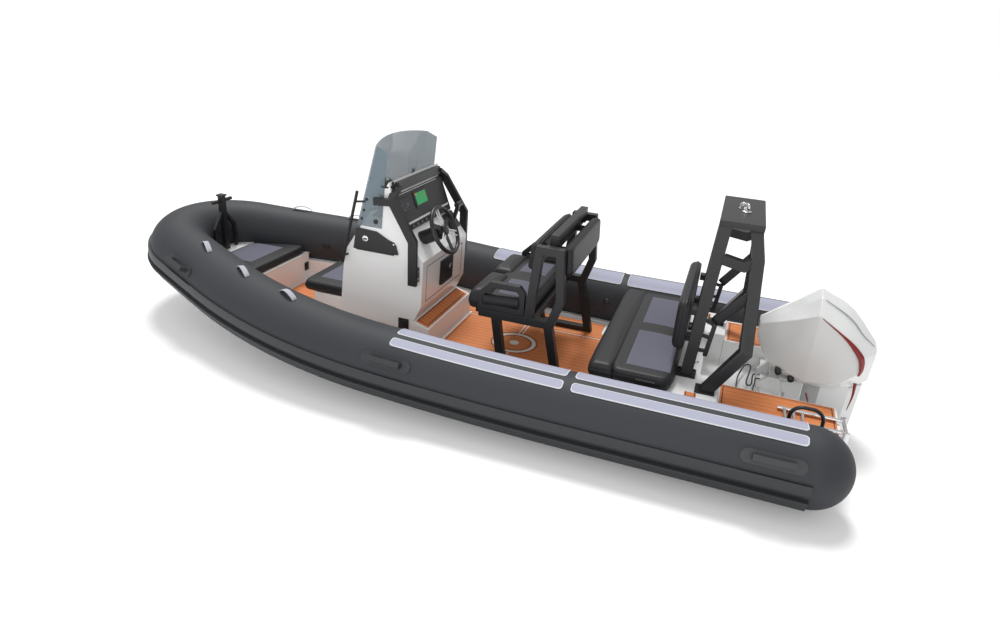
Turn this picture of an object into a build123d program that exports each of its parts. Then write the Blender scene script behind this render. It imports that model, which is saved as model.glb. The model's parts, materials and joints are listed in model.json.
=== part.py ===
# Inflatable rib boat: a solid lower hull inside an inflated collar, with a steering
# console, a helm seat, an aft bench, a stern arch and a tilting outboard motor.
# Millimetres. X runs towards the bow, Y to port, Z up. The origin is on the
# waterline, on the centreline, at the aft face of the transom.
from build123d import *
from math import atan2, cos, degrees, hypot, pi, radians, sin, sqrt, tan
import os

# ---------------------------------------------------------------- driving dimensions
# Collar
tube_radius = 230           # of the inflated tubes
tube_spacing = 950          # straight tubes' centreline from the boat's centreline
tube_height = 250           # their centreline above the waterline
stern_end = -200            # x where the straight tubes end in domes
sheer_start = 1123          # x where the tubes begin to rise
side_bend_start = 2452      # x where the sides begin to curve inwards
side_bend_radius = 3954
side_bend_angle = 21.77     # degrees turned by that curve
shoulder_run = 568          # straight run between the side curve and the bow curve
sheer_rise = 289            # rise of the centreline at the bow

# Hull and decks
keel_depth = 400            # below the waterline at the transom
deck_height = 120           # the floor's top
floor_thickness = 30
well_side = 235             # gap between the collar's centreline and the floor's edge
bench_top = 370
bench_front = 1100
bench_back = 450
aft_deck_top = 330
platform_aft = -370
motor_well_half = 350
transom_top = 250
transom_thickness = 60
locker_setback = 71         # its forward edge, aft of the bow curve's start
locker_length = 445
locker_aft_gap = 33         # its aft corners from the tubes
locker_fore_gap = 45
locker_top = 360
bow_step_top = 430          # of the raised deck forward of the locker
post_gap = 60               # mooring post's centre from the bow tube
wall = 12                   # of the moulded console and lockers
pad_thickness = 6           # of the foam deck pads
pad_margin = 15             # bare deck left beside a pad

# Console
console_half = 395
dash_half = 330
windscreen_thickness = 6
rail_width = 62             # flat bars that guard the console
rail_depth = 30

# Helm seat, bench and arch
seat_frame_half = 475       # centre of the seat's side frames from the centreline
seat_bar = 56
arch_bar = 72
clearance = 0.3             # between soft pieces and what moves beside them

# Outboard motor
motor_tilt_x = -10          # tilt axis
motor_tilt_z = 305
steer_axis_x = -160         # steering axis
propeller_axis_z = -590
propeller_radius = 168
propeller_x = -560
cavitation_plate_z = -405

pieces = {}


# ---------------------------------------------------------------- shared shapes
def block(x_range, y_range, z_range):
    sizes = [high - low for low, high in (x_range, y_range, z_range)]
    centre = [(high + low) / 2 for low, high in (x_range, y_range, z_range)]
    return Pos(*centre) * Box(*sizes)


def sidePrism(points, y_low, y_high):
    # an outline of (x, z) points, extruded from y_low to y_high
    outline = make_face(Polyline(*[(x, y_low, z) for x, z in points], close=True))
    return extrude(outline, amount=y_high - y_low, dir=(0, 1, 0))


def planPrism(points, z_low, z_high):
    # an outline of (x, y) points, extruded from z_low to z_high
    outline = make_face(Polyline(*[(x, y, z_low) for x, y in points], close=True))
    return extrude(outline, amount=z_high - z_low, dir=(0, 0, 1))


def endPrism(points, x_low, x_high):
    # an outline of (y, z) points, extruded from x_low to x_high
    outline = make_face(Polyline(*[(x_low, y, z) for y, z in points], close=True))
    return extrude(outline, amount=x_high - x_low, dir=(1, 0, 0))


def mirrored(shape):
    return mirror(shape, about=Plane.XZ)


def largest(shape):
    return shape.solids().sort_by(SortBy.VOLUME)[-1]


def lessCollar(shape, *tubes):
    # what is left of a shape inside the collar's tubes, in one solid
    for tube_solid in tubes:
        for solid in (tube_solid, mirrored(tube_solid)):
            shape = largest(largest(shape) - largest(solid))
    return shape


def pairOf(shape):
    return Compound(children=[*shape.solids(), *mirrored(shape).solids()])


def bar(points, width, depth, across=(0, 1, 0), flat_start=False, flat_end=False):
    # a mitred bar through the points, width measured along across; a flat end is
    # cut level, so that it stands on or meets a horizontal face
    corners = [Vector(*p) for p in points]
    across = Vector(*across).normalized()
    runs = [(b - a).normalized() for a, b in zip(corners, corners[1:])]
    rings = []
    for i, corner in enumerate(corners):
        before = runs[max(i - 1, 0)]
        after = runs[min(i, len(runs) - 1)]
        mitre = (before + after).normalized()
        if (i == 0 and flat_start) or (i == len(corners) - 1 and flat_end):
            mitre = Vector(0, 0, 1)
        side = (across - before * across.dot(before)).normalized()
        up = before.cross(side)
        ring = []
        for a, b in ((1, 1), (-1, 1), (-1, -1), (1, -1)):
            offset = side * (a * width / 2) + up * (b * depth / 2)
            slide = -offset.dot(mitre) / before.dot(mitre)
            ring.append(corner + offset + before * slide)
        rings.append(ring)
    outlines = [Wire.make_polygon(ring, close=True) for ring in rings]
    return Solid.make_loft(outlines, True)


def rod(points, radius, bend=None):
    # a round rod through the points, its corners bent to the given radius
    if len(points) == 2:
        path = Line(*points)
    else:
        path = FilletPolyline(*points, radius=bend)
    start = Plane(path @ 0, z_dir=path % 0)
    return sweep(start * Circle(radius), path=path)


# ---------------------------------------------------------------- collar
side_turn = radians(side_bend_angle)
shoulder_x = side_bend_start + side_bend_radius * sin(side_turn)
shoulder_y = tube_spacing - side_bend_radius * (1 - cos(side_turn))
cheek_x = shoulder_x + shoulder_run * cos(side_turn)
cheek_y = shoulder_y - shoulder_run * sin(side_turn)
bow_radius = cheek_y / cos(side_turn)
bow_centre_x = cheek_x - bow_radius * sin(side_turn)
bow_x = bow_centre_x + bow_radius


def sheer(x):
    # height of the tubes' centreline: level aft, then a parabola up to the bow
    run = max(x - sheer_start, 0) / (bow_x - sheer_start)
    return tube_height + sheer_rise * run ** 2


def sheerSlope(x):
    return 2 * sheer_rise * max(x - sheer_start, 0) / (bow_x - sheer_start) ** 2


def collarPoint(x, inset=0):
    # port centreline of the collar at x, moved inboard by inset
    if x <= side_bend_start:
        y = tube_spacing - inset
    elif x <= shoulder_x:
        radius = side_bend_radius - inset
        reach = min(x - side_bend_start, radius)
        y = tube_spacing - side_bend_radius + sqrt(radius ** 2 - reach ** 2)
    elif x <= cheek_x:
        y = shoulder_y - (x - shoulder_x) * tan(side_turn) - inset / cos(side_turn)
    else:
        y = sqrt(max((bow_radius - inset) ** 2 - (x - bow_centre_x) ** 2, 0))
    return Vector(x, y, sheer(x))


def turnPoint(centre_x, centre_y, radius, angle):
    # a point of a plan curve, angle in degrees from the X axis
    x = centre_x + radius * cos(radians(angle))
    return Vector(x, centre_y + radius * sin(radians(angle)), sheer(x))


bend_centre_y = tube_spacing - side_bend_radius
cheek_angle = 90 - side_bend_angle
collar_stations = {
    "stern": Vector(stern_end, tube_spacing, tube_height),
    "level": Vector(sheer_start, tube_spacing, tube_height),
    "bend": Vector(side_bend_start, tube_spacing, sheer(side_bend_start)),
    "flank": turnPoint(side_bend_start, bend_centre_y, side_bend_radius, 90 - side_bend_angle / 2),
    "shoulder": Vector(shoulder_x, shoulder_y, sheer(shoulder_x)),
    "cheek": Vector(cheek_x, cheek_y, sheer(cheek_x)),
    "bow": Vector(bow_x, 0, sheer(bow_x)),
}


def collarEdges(first, last):
    # tangent runs of the port centreline between two named stations; the bow itself is
    # one arc from cheek to cheek, of which the port half ends this list
    names = list(collar_stations)
    edges = []
    direction = Vector(1, 0, 0)
    for a, b in zip(names, names[1:]):
        begin = collar_stations[a]
        end = collar_stations[b]
        if a == "stern":
            edge = Line(begin, end)
        elif b == "bow":
            edge = TangentArc(end, begin, tangent=(0, 1, 0)).reversed()
        else:
            edge = TangentArc(begin, end, tangent=direction)
        direction = edge % 1
        edges.append(edge)
    return edges[names.index(first):names.index(last)]


def sectionAt(edge):
    # the plane across the start of a run, its local Y up and its local X to port
    ahead = edge % 0
    return Plane(edge @ 0, x_dir=Vector(0, 0, 1).cross(ahead), z_dir=ahead)


def along(profile, edges):
    # sweeps a profile, drawn about the tube's centre, along tangent runs
    path = Wire([edge.edge() for edge in edges])
    return sweep(sectionAt(edges[0]) * profile, path=path)


def band(low_angle, high_angle, inner, outer):
    # a strip on the tube, angles in degrees outward from its top, square ends
    def at(radius, angle):
        return (radius * sin(radians(angle)), radius * cos(radians(angle)))
    middle = (low_angle + high_angle) / 2
    outline = [
        ThreePointArc(at(inner, low_angle), at(inner, middle), at(inner, high_angle)),
        Line(at(inner, high_angle), at(outer, high_angle)),
        ThreePointArc(at(outer, high_angle), at(outer, middle), at(outer, low_angle)),
        Line(at(outer, low_angle), at(inner, low_angle)),
    ]
    return make_face(Wire([line.edge() for line in outline]))


def tube(first, last):
    return along(Circle(tube_radius), collarEdges(first, last))


dome_outline = make_face(Wire([
    Line((0, 0, 0), (0, 0, tube_radius)).edge(),
    CenterArc((0, 0, 0), tube_radius, 0, 90).edge().rotate(Axis.X, 90).rotate(Axis.Z, 180),
    Line((-tube_radius, 0, 0), (0, 0, 0)).edge(),
]))
stern_dome = Pos(stern_end, tube_spacing, tube_height) * revolve(dome_outline, Axis.X)
side_tube = tube("stern", "bend") + stern_dome
quarter_tube = tube("bend", "cheek")
half_bow = tube("cheek", "bow")
bow_tube = half_bow + mirrored(half_bow)
collar_solids = [side_tube, quarter_tube, half_bow]

pieces["tube_port"] = side_tube
pieces["tube_starboard"] = mirrored(side_tube)
pieces["tube_port_bow"] = quarter_tube
pieces["tube_starboard_bow"] = mirrored(quarter_tube)
pieces["tube_bow"] = bow_tube

# Rubbing strakes round the outside, low on the tubes, in one stepped profile:
# columns: lowest angle, highest angle, how far it stands out
strake_bands = [(83, 98, 14), (98, 106, 5), (106, 111, 30), (111, 128, 22)]


def onTube(radius, angle):
    # a point of the tube's section, angle in degrees outward from its top
    return (radius * sin(radians(angle)), radius * cos(radians(angle)))


seat_radius = tube_radius + clearance
strake_lines = []
corner = onTube(seat_radius, strake_bands[0][0])
for low_angle, high_angle, proud in strake_bands:
    radius = tube_radius + proud
    middle = (low_angle + high_angle) / 2
    strake_lines.append(Line(corner, onTube(radius, low_angle)))
    strake_lines.append(ThreePointArc(onTube(radius, low_angle), onTube(radius, middle),
                                      onTube(radius, high_angle)))
    corner = onTube(radius, high_angle)
first_angle = strake_bands[0][0]
last_angle = strake_bands[-1][1]
strake_lines.append(Line(corner, onTube(seat_radius, last_angle)))
strake_lines.append(ThreePointArc(onTube(seat_radius, last_angle),
                                  onTube(seat_radius, (first_angle + last_angle) / 2),
                                  onTube(seat_radius, first_angle)))
strake_face = make_face(Wire([line.edge() for line in strake_lines]))
pieces["rub_strakes"] = pairOf(along(strake_face, collarEdges("stern", "bow")))

# Tread patches on top of the side tubes: columns: low angle, high angle; then lengths
patch_rows = [(-36, 6), (16, 33)]
patch_runs = [(-150, 1147), (1197, 2335)]
patch_thickness = 4
patches = []
for x_low, x_high in patch_runs:
    for low_angle, high_angle in patch_rows:
        start = collarPoint(x_low)
        finish = collarPoint(x_high)
        if x_high <= sheer_start:
            runs = [Line(start, finish)]
        elif x_low < sheer_start:
            level = collarPoint(sheer_start)
            runs = [Line(start, level), TangentArc(level, finish, tangent=(1, 0, 0))]
        else:
            heading = Vector(1, 0, sheerSlope(x_low)).normalized()
            runs = [TangentArc(start, finish, tangent=heading)]
        strip = band(low_angle, high_angle, tube_radius, tube_radius + patch_thickness)
        patches.append(along(strip, runs))
pieces["tread_patches_port"] = Compound(children=[p.solid() for p in patches])
pieces["tread_patches_starboard"] = mirrored(pieces["tread_patches_port"])


# Carrying handles on the outside of the tubes: an oval base and a bar on two legs
def tubeHandle(x, angle):
    place = collarPoint(x)
    ahead = 1
    heading = atan2(collarPoint(x + ahead).Y - place.Y, ahead)
    pitch = degrees(atan2(sheerSlope(x), 1))
    base = Box(260, 80, 12) + Pos(130, 0, 0) * Cylinder(40, 12) + Pos(-130, 0, 0) * Cylinder(40, 12)
    legs = Pos(95, 0, 23) * Box(30, 34, 34) + Pos(-95, 0, 23) * Box(30, 34, 34)
    grip = Pos(0, 0, 46) * Box(220, 34, 18)
    foot = Pos(0, 0, -6) * Box(240, 56, 8)
    shape = fillet((base + legs + grip).edges().filter_by(Axis.Z), 5) + foot
    seated = Pos(0, 0, tube_radius + 2) * shape
    return (Pos(place.X, place.Y, place.Z) * Rot(0, 0, degrees(heading))
            * Rot(0, -pitch, 0) * Rot(-angle, 0, 0) * seated)


handle_places = [(4180, 62), (2310, 60), (10, 62)]  # x, angle outward from the top
handles = []
for x, angle in handle_places:
    handle = tubeHandle(x, angle)
    for solid in collar_solids:
        handle = handle - solid
    handles.append(handle)
pieces["tube_handles_port"] = Compound(children=[largest(h) for h in handles])
pieces["tube_handles_starboard"] = mirrored(pieces["tube_handles_port"])

# ---------------------------------------------------------------- hull
# Sections: x, keel z, chine inset from the tube's centre, chine z, flange inset, flange
# drop below the tube's centre; the top of each lies the rim drop below that centre
rim_drop = 130
mid_bend_x = (side_bend_start + shoulder_x) / 2
hull_sections = [
    (0, -keel_depth, 190, -60, 100, 160),
    (sheer_start, -keel_depth, 185, -55, 100, 160),
    (side_bend_start, -keel_depth + 5, 200, -20, 100, 160),
    (mid_bend_x, -keel_depth + 35, 218, 48, 100, 160),
    (shoulder_x, -keel_depth + 140, 218, 140, 105, 160),
    (cheek_x, -keel_depth + 330, 242, 240, 115, 160),
    (bow_x - 56, -keel_depth + 530, 158, 315, 120, 165),
]


def hullSection(x, keel_z, chine_inset, chine_z, inset, flange_drop):
    centre = collarPoint(x)
    chine_y = centre.Y - chine_inset
    flange_y = centre.Y - inset
    outline = [
        (0, keel_z), (chine_y, chine_z), (flange_y, centre.Z - flange_drop),
        (flange_y, centre.Z - rim_drop), (-flange_y, centre.Z - rim_drop),
        (-flange_y, centre.Z - flange_drop), (-chine_y, chine_z),
    ]
    return Wire.make_polygon([Vector(x, y, z) for y, z in outline], close=True)


hull = Solid.make_loft([hullSection(*row) for row in hull_sections], True)
stem_x = bow_x + 34
stem_outline = [(0, 290), (14, 300), (20, 310), (20, 330), (-20, 330), (-20, 310), (-14, 300)]
stem_end = Wire.make_polygon([Vector(stem_x, y, z) for y, z in stem_outline], close=True)
stem = Solid.make_loft([hullSection(*hull_sections[-1]), stem_end], True)
hull = hull + stem


def wellPrism(inset, x_start, z_low, z_high):
    # the space inside the collar from x_start forwards, its sides parallel to the tubes
    def flip(point):
        return Vector(point.X, -point.Y, z_low)

    def bend(centre_x, centre_y, radius, angle):
        point = turnPoint(centre_x, centre_y, radius, angle)
        return Vector(point.X, point.Y, z_low)
    side = tube_spacing - inset
    side_radius = side_bend_radius - inset
    a = Vector(0, side, z_low)
    b = Vector(side_bend_start, side, z_low)
    mid = bend(side_bend_start, bend_centre_y, side_radius, 90 - side_bend_angle / 2)
    c = bend(side_bend_start, bend_centre_y, side_radius, 90 - side_bend_angle)
    d = bend(bow_centre_x, 0, bow_radius - inset, cheek_angle)
    e = bend(bow_centre_x, 0, bow_radius - inset, 0)
    lines = [
        Line(a, b), ThreePointArc(b, mid, c), Line(c, d), ThreePointArc(d, e, flip(d)),
        Line(flip(d), flip(c)), ThreePointArc(flip(c), flip(mid), flip(b)),
        Line(flip(b), flip(a)), Line(flip(a), a),
    ]
    outline = make_face(Wire([line.edge() for line in lines]))
    whole = extrude(outline, amount=z_high - z_low, dir=(0, 0, 1))
    return largest(whole & block((x_start, bow_x), (-side, side), (z_low, z_high)))


floor_under = deck_height - floor_thickness
well = wellPrism(well_side, transom_thickness, floor_under, 700)
hull = hull - well
transom = block((0, transom_thickness), (-motor_well_half, motor_well_half), (floor_under, transom_top))
hull = hull + transom
pieces["hull"] = lessCollar(hull, *collar_solids)

pieces["floor"] = wellPrism(well_side, transom_thickness, floor_under, deck_height)

# ---------------------------------------------------------------- aft deck and bench
well_floor = 150
platform = sidePrism([(transom_thickness, deck_height), (0, deck_height), (platform_aft, 235),
                      (platform_aft, aft_deck_top), (330, aft_deck_top), (330, deck_height)],
                     motor_well_half, tube_spacing)
well_bottom = block((transom_thickness, bench_back), (-motor_well_half, motor_well_half),
                    (deck_height, well_floor))
aft_deck = platform + mirrored(platform) + well_bottom
bench_base = block((330, bench_front), (-tube_spacing, tube_spacing), (deck_height, bench_top))
bench_base = bench_base - block((330, bench_back), (-motor_well_half, motor_well_half),
                                (deck_height, bench_top))
pieces["aft_deck"] = lessCollar(aft_deck, side_tube)
pieces["bench_base"] = lessCollar(bench_base, side_tube)

bench_cushion = block((600, 1130), (-712, 712), (bench_top, bench_top + 100))
pieces["bench_cushion"] = fillet(bench_cushion.edges().group_by(Axis.Z)[-1], 35)
bench_handle = block((700, 820), (712, 736), (bench_top + 40, bench_top + 62))
pieces["bench_handles"] = pairOf(bench_handle)
bench_back_pad = sidePrism([(590, 535), (655, 535), (668, 700), (640, 880), (585, 880), (578, 700)],
                           -450, 450)
bench_back_pad = fillet(bench_back_pad.edges().filter_by(Axis.Y), 20)
pieces["bench_backrest"] = bench_back_pad

# ---------------------------------------------------------------- bow
locker_front = cheek_x - locker_setback
locker_back = locker_front - locker_length
locker_half_aft = collarPoint(locker_back).Y - tube_radius - locker_aft_gap
locker_half_fore = collarPoint(locker_front).Y - tube_radius - locker_fore_gap


def lockerOutline(inset):
    slant = inset * (locker_half_aft - locker_half_fore) / (locker_front - locker_back)
    aft = locker_half_aft - inset - slant
    fore = locker_half_fore - inset + slant
    x_aft = locker_back + inset
    x_fore = locker_front - inset
    return [(x_aft, aft), (x_fore, fore), (x_fore, -fore), (x_aft, -aft)]


# the deck's rim reaches over the hull's edge to the tubes, level round the locker and
# one step higher forward of it
deck_rim = 120              # inset of the rim from the tubes' centreline, before its cut
step_start = locker_front + 6
bow_deck = wellPrism(well_side, locker_back, deck_height, locker_top)
low_rim = block((locker_back, step_start), (-tube_spacing, tube_spacing), (locker_top - 5, locker_top))
bow_deck = bow_deck + (low_rim & wellPrism(deck_rim, locker_back, locker_top - 5, locker_top))
bow_deck = bow_deck + wellPrism(well_side, step_start, locker_top, bow_step_top)
bow_deck = bow_deck + wellPrism(deck_rim, step_start, bow_step_top - 17, bow_step_top)
bow_deck = bow_deck - planPrism(lockerOutline(wall), deck_height + wall, locker_top)
pieces["bow_deck"] = lessCollar(bow_deck, quarter_tube, half_bow)

lid_thickness = 14
cushion_top = locker_top + 90
lid_low = locker_top + clearance
lid_hinge_x = locker_back - 4
lid_hinge_z = locker_top + lid_thickness / 2
lid_barrel = Pos(lid_hinge_x, 0, lid_hinge_z) * Rot(90, 0, 0) * Cylinder(6, 1.5 * locker_half_aft)
bow_lid = planPrism(lockerOutline(0), lid_low, locker_top + lid_thickness)
pieces["bow_lid"] = largest(bow_lid + lid_barrel)
bow_cushion = planPrism(lockerOutline(3), locker_top + lid_thickness, cushion_top)
pieces["bow_cushion"] = fillet(bow_cushion.edges().group_by(Axis.Z)[-1], 25)

# Mooring post on the bow step: a square post, a cross-bar and two bent struts
post_x = bow_x - tube_radius - post_gap
post_half = 22
post_top = 890
post = block((post_x - post_half, post_x + post_half), (-post_half, post_half), (bow_step_top, post_top))
post_cap = post_half + 8
post = post + block((post_x - post_cap, post_x + post_cap), (-post_cap, post_cap), (post_top, post_top + 12))
post = post + Pos(post_x, 0, post_top - 40) * Rot(90, 0, 0) * Cylinder(14, 220)
strut_line = [(15, 750), (112, 625), (120, bow_step_top)]
for side in (1, -1):
    strut_points = [(post_x, side * y, z) for y, z in strut_line]
    post = post + bar(strut_points, 24, 24, across=(1, 0, 0), flat_end=True)
pieces["bow_post"] = largest(post)

# ---------------------------------------------------------------- console
console_foot_x = 2350
footrest = [(2370, 280), (2490, 320)]
dash_low = [(2420, 790), (2565, 970)]
dash_high = [(2565, 970), (2664, 1230)]
console_outline = [
    (console_foot_x, deck_height), *footrest, (2430, 450), *dash_low, dash_high[1],
    (2685, 1323), (3050, 770), (3090, 390), (3090, deck_height),
]
console_shell = sidePrism(console_outline, -console_half, console_half)
inner_face = offset(make_face(Polyline(*[(x, 0, z) for x, z in console_outline], close=True)),
                    amount=-wall, kind=Kind.INTERSECTION)
console_inner = extrude(inner_face, amount=console_half - wall, both=True)
console_floor_cut = block((2350 + wall, 3090 - wall), (wall - console_half, console_half - wall),
                          (deck_height, deck_height + wall))
console = console_shell - console_inner - console_floor_cut

# openings: a small locker in the aft face, and a long one in the port side
hatch_width = 220
hatch_low = 530
hatch_high = 700
side_hatch = [(2610, 816), (2967, 812), (2940, 970), (2780, 960), (2630, 885)]
hatch_hole = block((2350, 2500), (-20 - hatch_width / 2 + 15, -20 + hatch_width / 2 - 15),
                   (hatch_low + 15, hatch_high - 15))
side_hole = sidePrism([(x + (12 if x < 2800 else -12), z + (12 if z < 900 else -12)) for x, z in side_hatch],
                      console_half - 2 * wall, console_half + wall)
console = console - hatch_hole - side_hole
pieces["console"] = largest(console)


def facePlate(low, high, y_low, y_high, thickness, lift=0.0):
    # a plate lying on the sloping face from low to high, (x, z) points
    run_x = high[0] - low[0]
    run_z = high[1] - low[1]
    length = hypot(run_x, run_z)
    out_x = -run_z / length
    out_z = run_x / length
    corners = []
    for (x, z), rise in ((low, lift), (high, lift), (high, lift + thickness), (low, lift + thickness)):
        corners.append((x + out_x * rise, z + out_z * rise))
    return sidePrism(corners, y_low, y_high)


def between(low, high, share):
    return (low[0] + (high[0] - low[0]) * share, low[1] + (high[1] - low[1]) * share)


door_low = (2430, 450)
aft_hatch = facePlate(between(door_low, dash_low[0], 0.2), between(door_low, dash_low[0], 0.76),
                      -20 - hatch_width / 2, -20 + hatch_width / 2, 12, lift=clearance)
hatch_edge = between(door_low, dash_low[0], 0.2)
hatch_barrel = 5
hatch_lean = atan2(door_low[0] - dash_low[0][0], dash_low[0][1] - door_low[1])
hatch_reach = 12 + clearance
hatch_axis = Pos(hatch_edge[0] - hatch_reach * cos(hatch_lean), -20,
                 hatch_edge[1] - hatch_reach * sin(hatch_lean))
hatch_pin = hatch_axis * Rot(90, 0, 0) * Cylinder(hatch_barrel, hatch_width - 40)
pieces["aft_hatch"] = largest(aft_hatch + hatch_pin)
side_lid = sidePrism(side_hatch, console_half + clearance, console_half + 14)
side_lid_low = min(z for x, z in side_hatch)
side_pin = Pos(2790, console_half + 14, side_lid_low) * Rot(0, 90, 0) * Cylinder(hatch_barrel, 300)
pieces["side_hatch"] = largest(side_lid + side_pin)
dash = facePlate(between(*dash_high, 0.02), between(*dash_high, 0.98), -dash_half, dash_half, 14)
pieces["dash_panel"] = dash
screens = []
for y_low, y_high in ((60, 260), (-190, 10)):
    screens.append(facePlate(between(*dash_high, 0.36), between(*dash_high, 0.84), y_low, y_high, 6, 14))
pieces["screens"] = Compound(children=[s.solid() for s in screens])

# Windscreen: one bent sheet, a U in plan, its front slightly bowed
def screenFace(aft_x, corner_x, apex_x, half, z, thickness):
    # U-shaped plan outline: two straight wings and a bowed front
    def bow(shift):
        return ThreePointArc((corner_x - shift, half - shift, z), (apex_x - shift, 0, z),
                             (corner_x - shift, shift - half, z))
    outer = bow(0)
    inner = bow(thickness)
    lines = [
        Line((aft_x, half, z), (corner_x, half, z)), outer,
        Line((corner_x, -half, z), (aft_x, -half, z)),
        Line((aft_x, -half, z), (aft_x, thickness - half, z)),
        Line((aft_x, thickness - half, z), (corner_x - thickness, thickness - half, z)), inner,
        Line((corner_x - thickness, half - thickness, z), (aft_x, half - thickness, z)),
        Line((aft_x, half - thickness, z), (aft_x, half, z)),
    ]
    return make_face(Wire([line.edge() for line in lines]))


screen_low = screenFace(2750, 2960, 3010, console_half + windscreen_thickness, 900, windscreen_thickness)
screen_high = screenFace(2690, 2770, 2850, console_half + windscreen_thickness, 1600, windscreen_thickness)
windscreen = loft([screen_low, screen_high], ruled=True)
screen_foot = 988
slant_cut = sidePrism([(2500, 1440), (2860, 1590), (2860, 1700), (2500, 1700)], -600, 600)
slant_cut = slant_cut + block((2500, 3100), (-600, 600), (800, screen_foot))
windscreen = windscreen - slant_cut - console_shell
pieces["windscreen"] = largest(windscreen)

# Grab rods beside the windscreen's front corners: the lower stand-off is on the
# console's side, the upper one on the windscreen's wing
rod_y = console_half + 38
rod_foot = Vector(3045, rod_y, 700)
rod_head = Vector(2910, rod_y, 1240)
grab = rod([rod_foot, rod_head], 11)
for share, aft_reach in ((0.1, 10), (0.86, 60)):
    hold = rod_foot + (rod_head - rod_foot) * share
    grab = grab + rod([hold, Vector(hold.X - aft_reach, console_half, hold.Z)], 8)
grab = grab - windscreen - console_shell
pieces["grab_rods"] = pairOf(largest(grab))

# Guard rails down both aft corners, joined over the dash
rail_y = console_half + 60
side_rail = bar([(2470, rail_y, 630), (2470, rail_y, 950), (2640, rail_y - 16, 1215), (2652, 330, 1285)],
                rail_depth, rail_width, across=(0, 1, 0))
cross_rail = block((2636, 2668), (-340, 340), (1255, 1315))
rail_stub = bar([(2630, rail_y - 16, 1200), (2775, rail_y - 16, 1190)], rail_depth, rail_width - 12)
rail_foot = block((2445, 2495), (console_half, rail_y - 10), (650, 750))
rails = side_rail + rail_stub + rail_foot
rails = rails + mirrored(rails) + cross_rail - console_shell - dash
pieces["guard_rails"] = largest(rails)

# Compass dome on the port front of the console's top
compass = Pos(2740, 300, 1235) * Rot(0, 33, 0) * (Cylinder(55, 24) + Pos(0, 0, 12) * Sphere(42))
pieces["compass"] = largest(compass - console_shell)

# Steering column and wheel
wheel_y = 204
column_foot = (2513, wheel_y, 905)
column_tilt = radians(27)
column_axis = Vector(-cos(column_tilt), 0, sin(column_tilt))
column_length = 150
column_plane = Plane(Vector(*column_foot) - column_axis * 40, z_dir=column_axis)
column = extrude(column_plane * Circle(52), amount=column_length + 40)
pieces["steering_column"] = largest(column - console_shell)
wheel_plane = Plane(Vector(*column_foot) + column_axis * (column_length + 1), x_dir=(0, 1, 0),
                    z_dir=column_axis)
wheel_radius = 165
wheel = Pos(0, 0, 40) * Torus(wheel_radius, 15) + Pos(0, 0, 22) * Cylinder(38, 44)
for spoke in range(3):
    spoke_bar = Pos(0, wheel_radius / 2, 33) * Box(34, wheel_radius, 8)
    wheel = wheel + Rot(0, 0, 120 * spoke) * spoke_bar
pieces["steering_wheel"] = wheel_plane * wheel

throttle_base = facePlate(between(*dash_low, 0.35), between(*dash_low, 0.95), -320, -210, 45)
throttle_lever = bar([(2480, -265, 930), (2440, -265, 1060)], 22, 30)
throttle_knob = Pos(2440, -265, 1060) * Rot(90, 0, 0) * Cylinder(20, 90)
pieces["throttle"] = largest(throttle_base + throttle_lever + throttle_knob)

# Forward seat on the console's front
seat_front = 3400
pieces["forward_seat"] = block((3090, seat_front), (-300, 300), (deck_height, 350))
forward_cushion = block((3090, 3500), (-300, 300), (350, 435))
pieces["forward_cushion"] = fillet(forward_cushion.edges().group_by(Axis.Z)[-1], 25)

# ---------------------------------------------------------------- helm seat
seat_side = seat_frame_half
floor_top = deck_height + pad_thickness
rear_post = bar([(1360, seat_side, floor_top), (1455, seat_side, 533), (1392, seat_side, 733),
                 (1423, seat_side, 1060), (1558, seat_side, 1060), (1600, seat_side, 580)],
                seat_bar, seat_bar, flat_start=True)
front_leg = bar([(1750, seat_side, floor_top), (1778, seat_side, 259), (1835, seat_side, 580)],
                seat_bar, seat_bar, flat_start=True)
foot_bar = block((1360, 1750), (seat_side - 28, seat_side + 28), (floor_top, floor_top + 40))
seat_rail = block((1440, 1950), (seat_side - 28, seat_side + 28), (530, 586))
side_frame = rear_post + front_leg + foot_bar + seat_rail
inner = seat_side - seat_bar / 2
seat_pan = block((1560, 1990), (-inner, inner), (530, 570))
seat_hoop = block((1475, 1505), (-inner, inner), (1032, 1088))
pieces["seat_frame"] = largest(side_frame + mirrored(side_frame) + seat_pan + seat_hoop)
seat_cushion = block((1600, 2050), (-inner + 1, inner - 1), (570, 700))
pieces["seat_cushion"] = fillet(seat_cushion.edges().group_by(Axis.Z)[-1], 35)
front_back = block((1506, 1560), (clearance - inner, inner - clearance), (915, 1100))
rear_back = block((1420, 1474), (clearance - inner, inner - clearance), (915, 1100))
pieces["helm_backrest"] = fillet(front_back.edges().filter_by(Axis.Y), 18)
pieces["aft_backrest"] = fillet(rear_back.edges().filter_by(Axis.Y), 18)
arm_outline = [(1630, 586), (1960, 586), (1960, 700), (1870, 790), (1670, 790), (1630, 745)]
arm_inner = [(1672, 628), (1915, 628), (1915, 690), (1850, 748), (1690, 748), (1672, 728)]
arm_y = seat_side - 20
arm_frame = sidePrism(arm_outline, arm_y, arm_y + 44) - sidePrism(arm_inner, arm_y - 1, arm_y + 45)
pieces["arm_frames"] = pairOf(arm_frame)
bolster = sidePrism(arm_inner, arm_y + 6, arm_y + 38)
pieces["arm_pads"] = pairOf(bolster)

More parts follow.
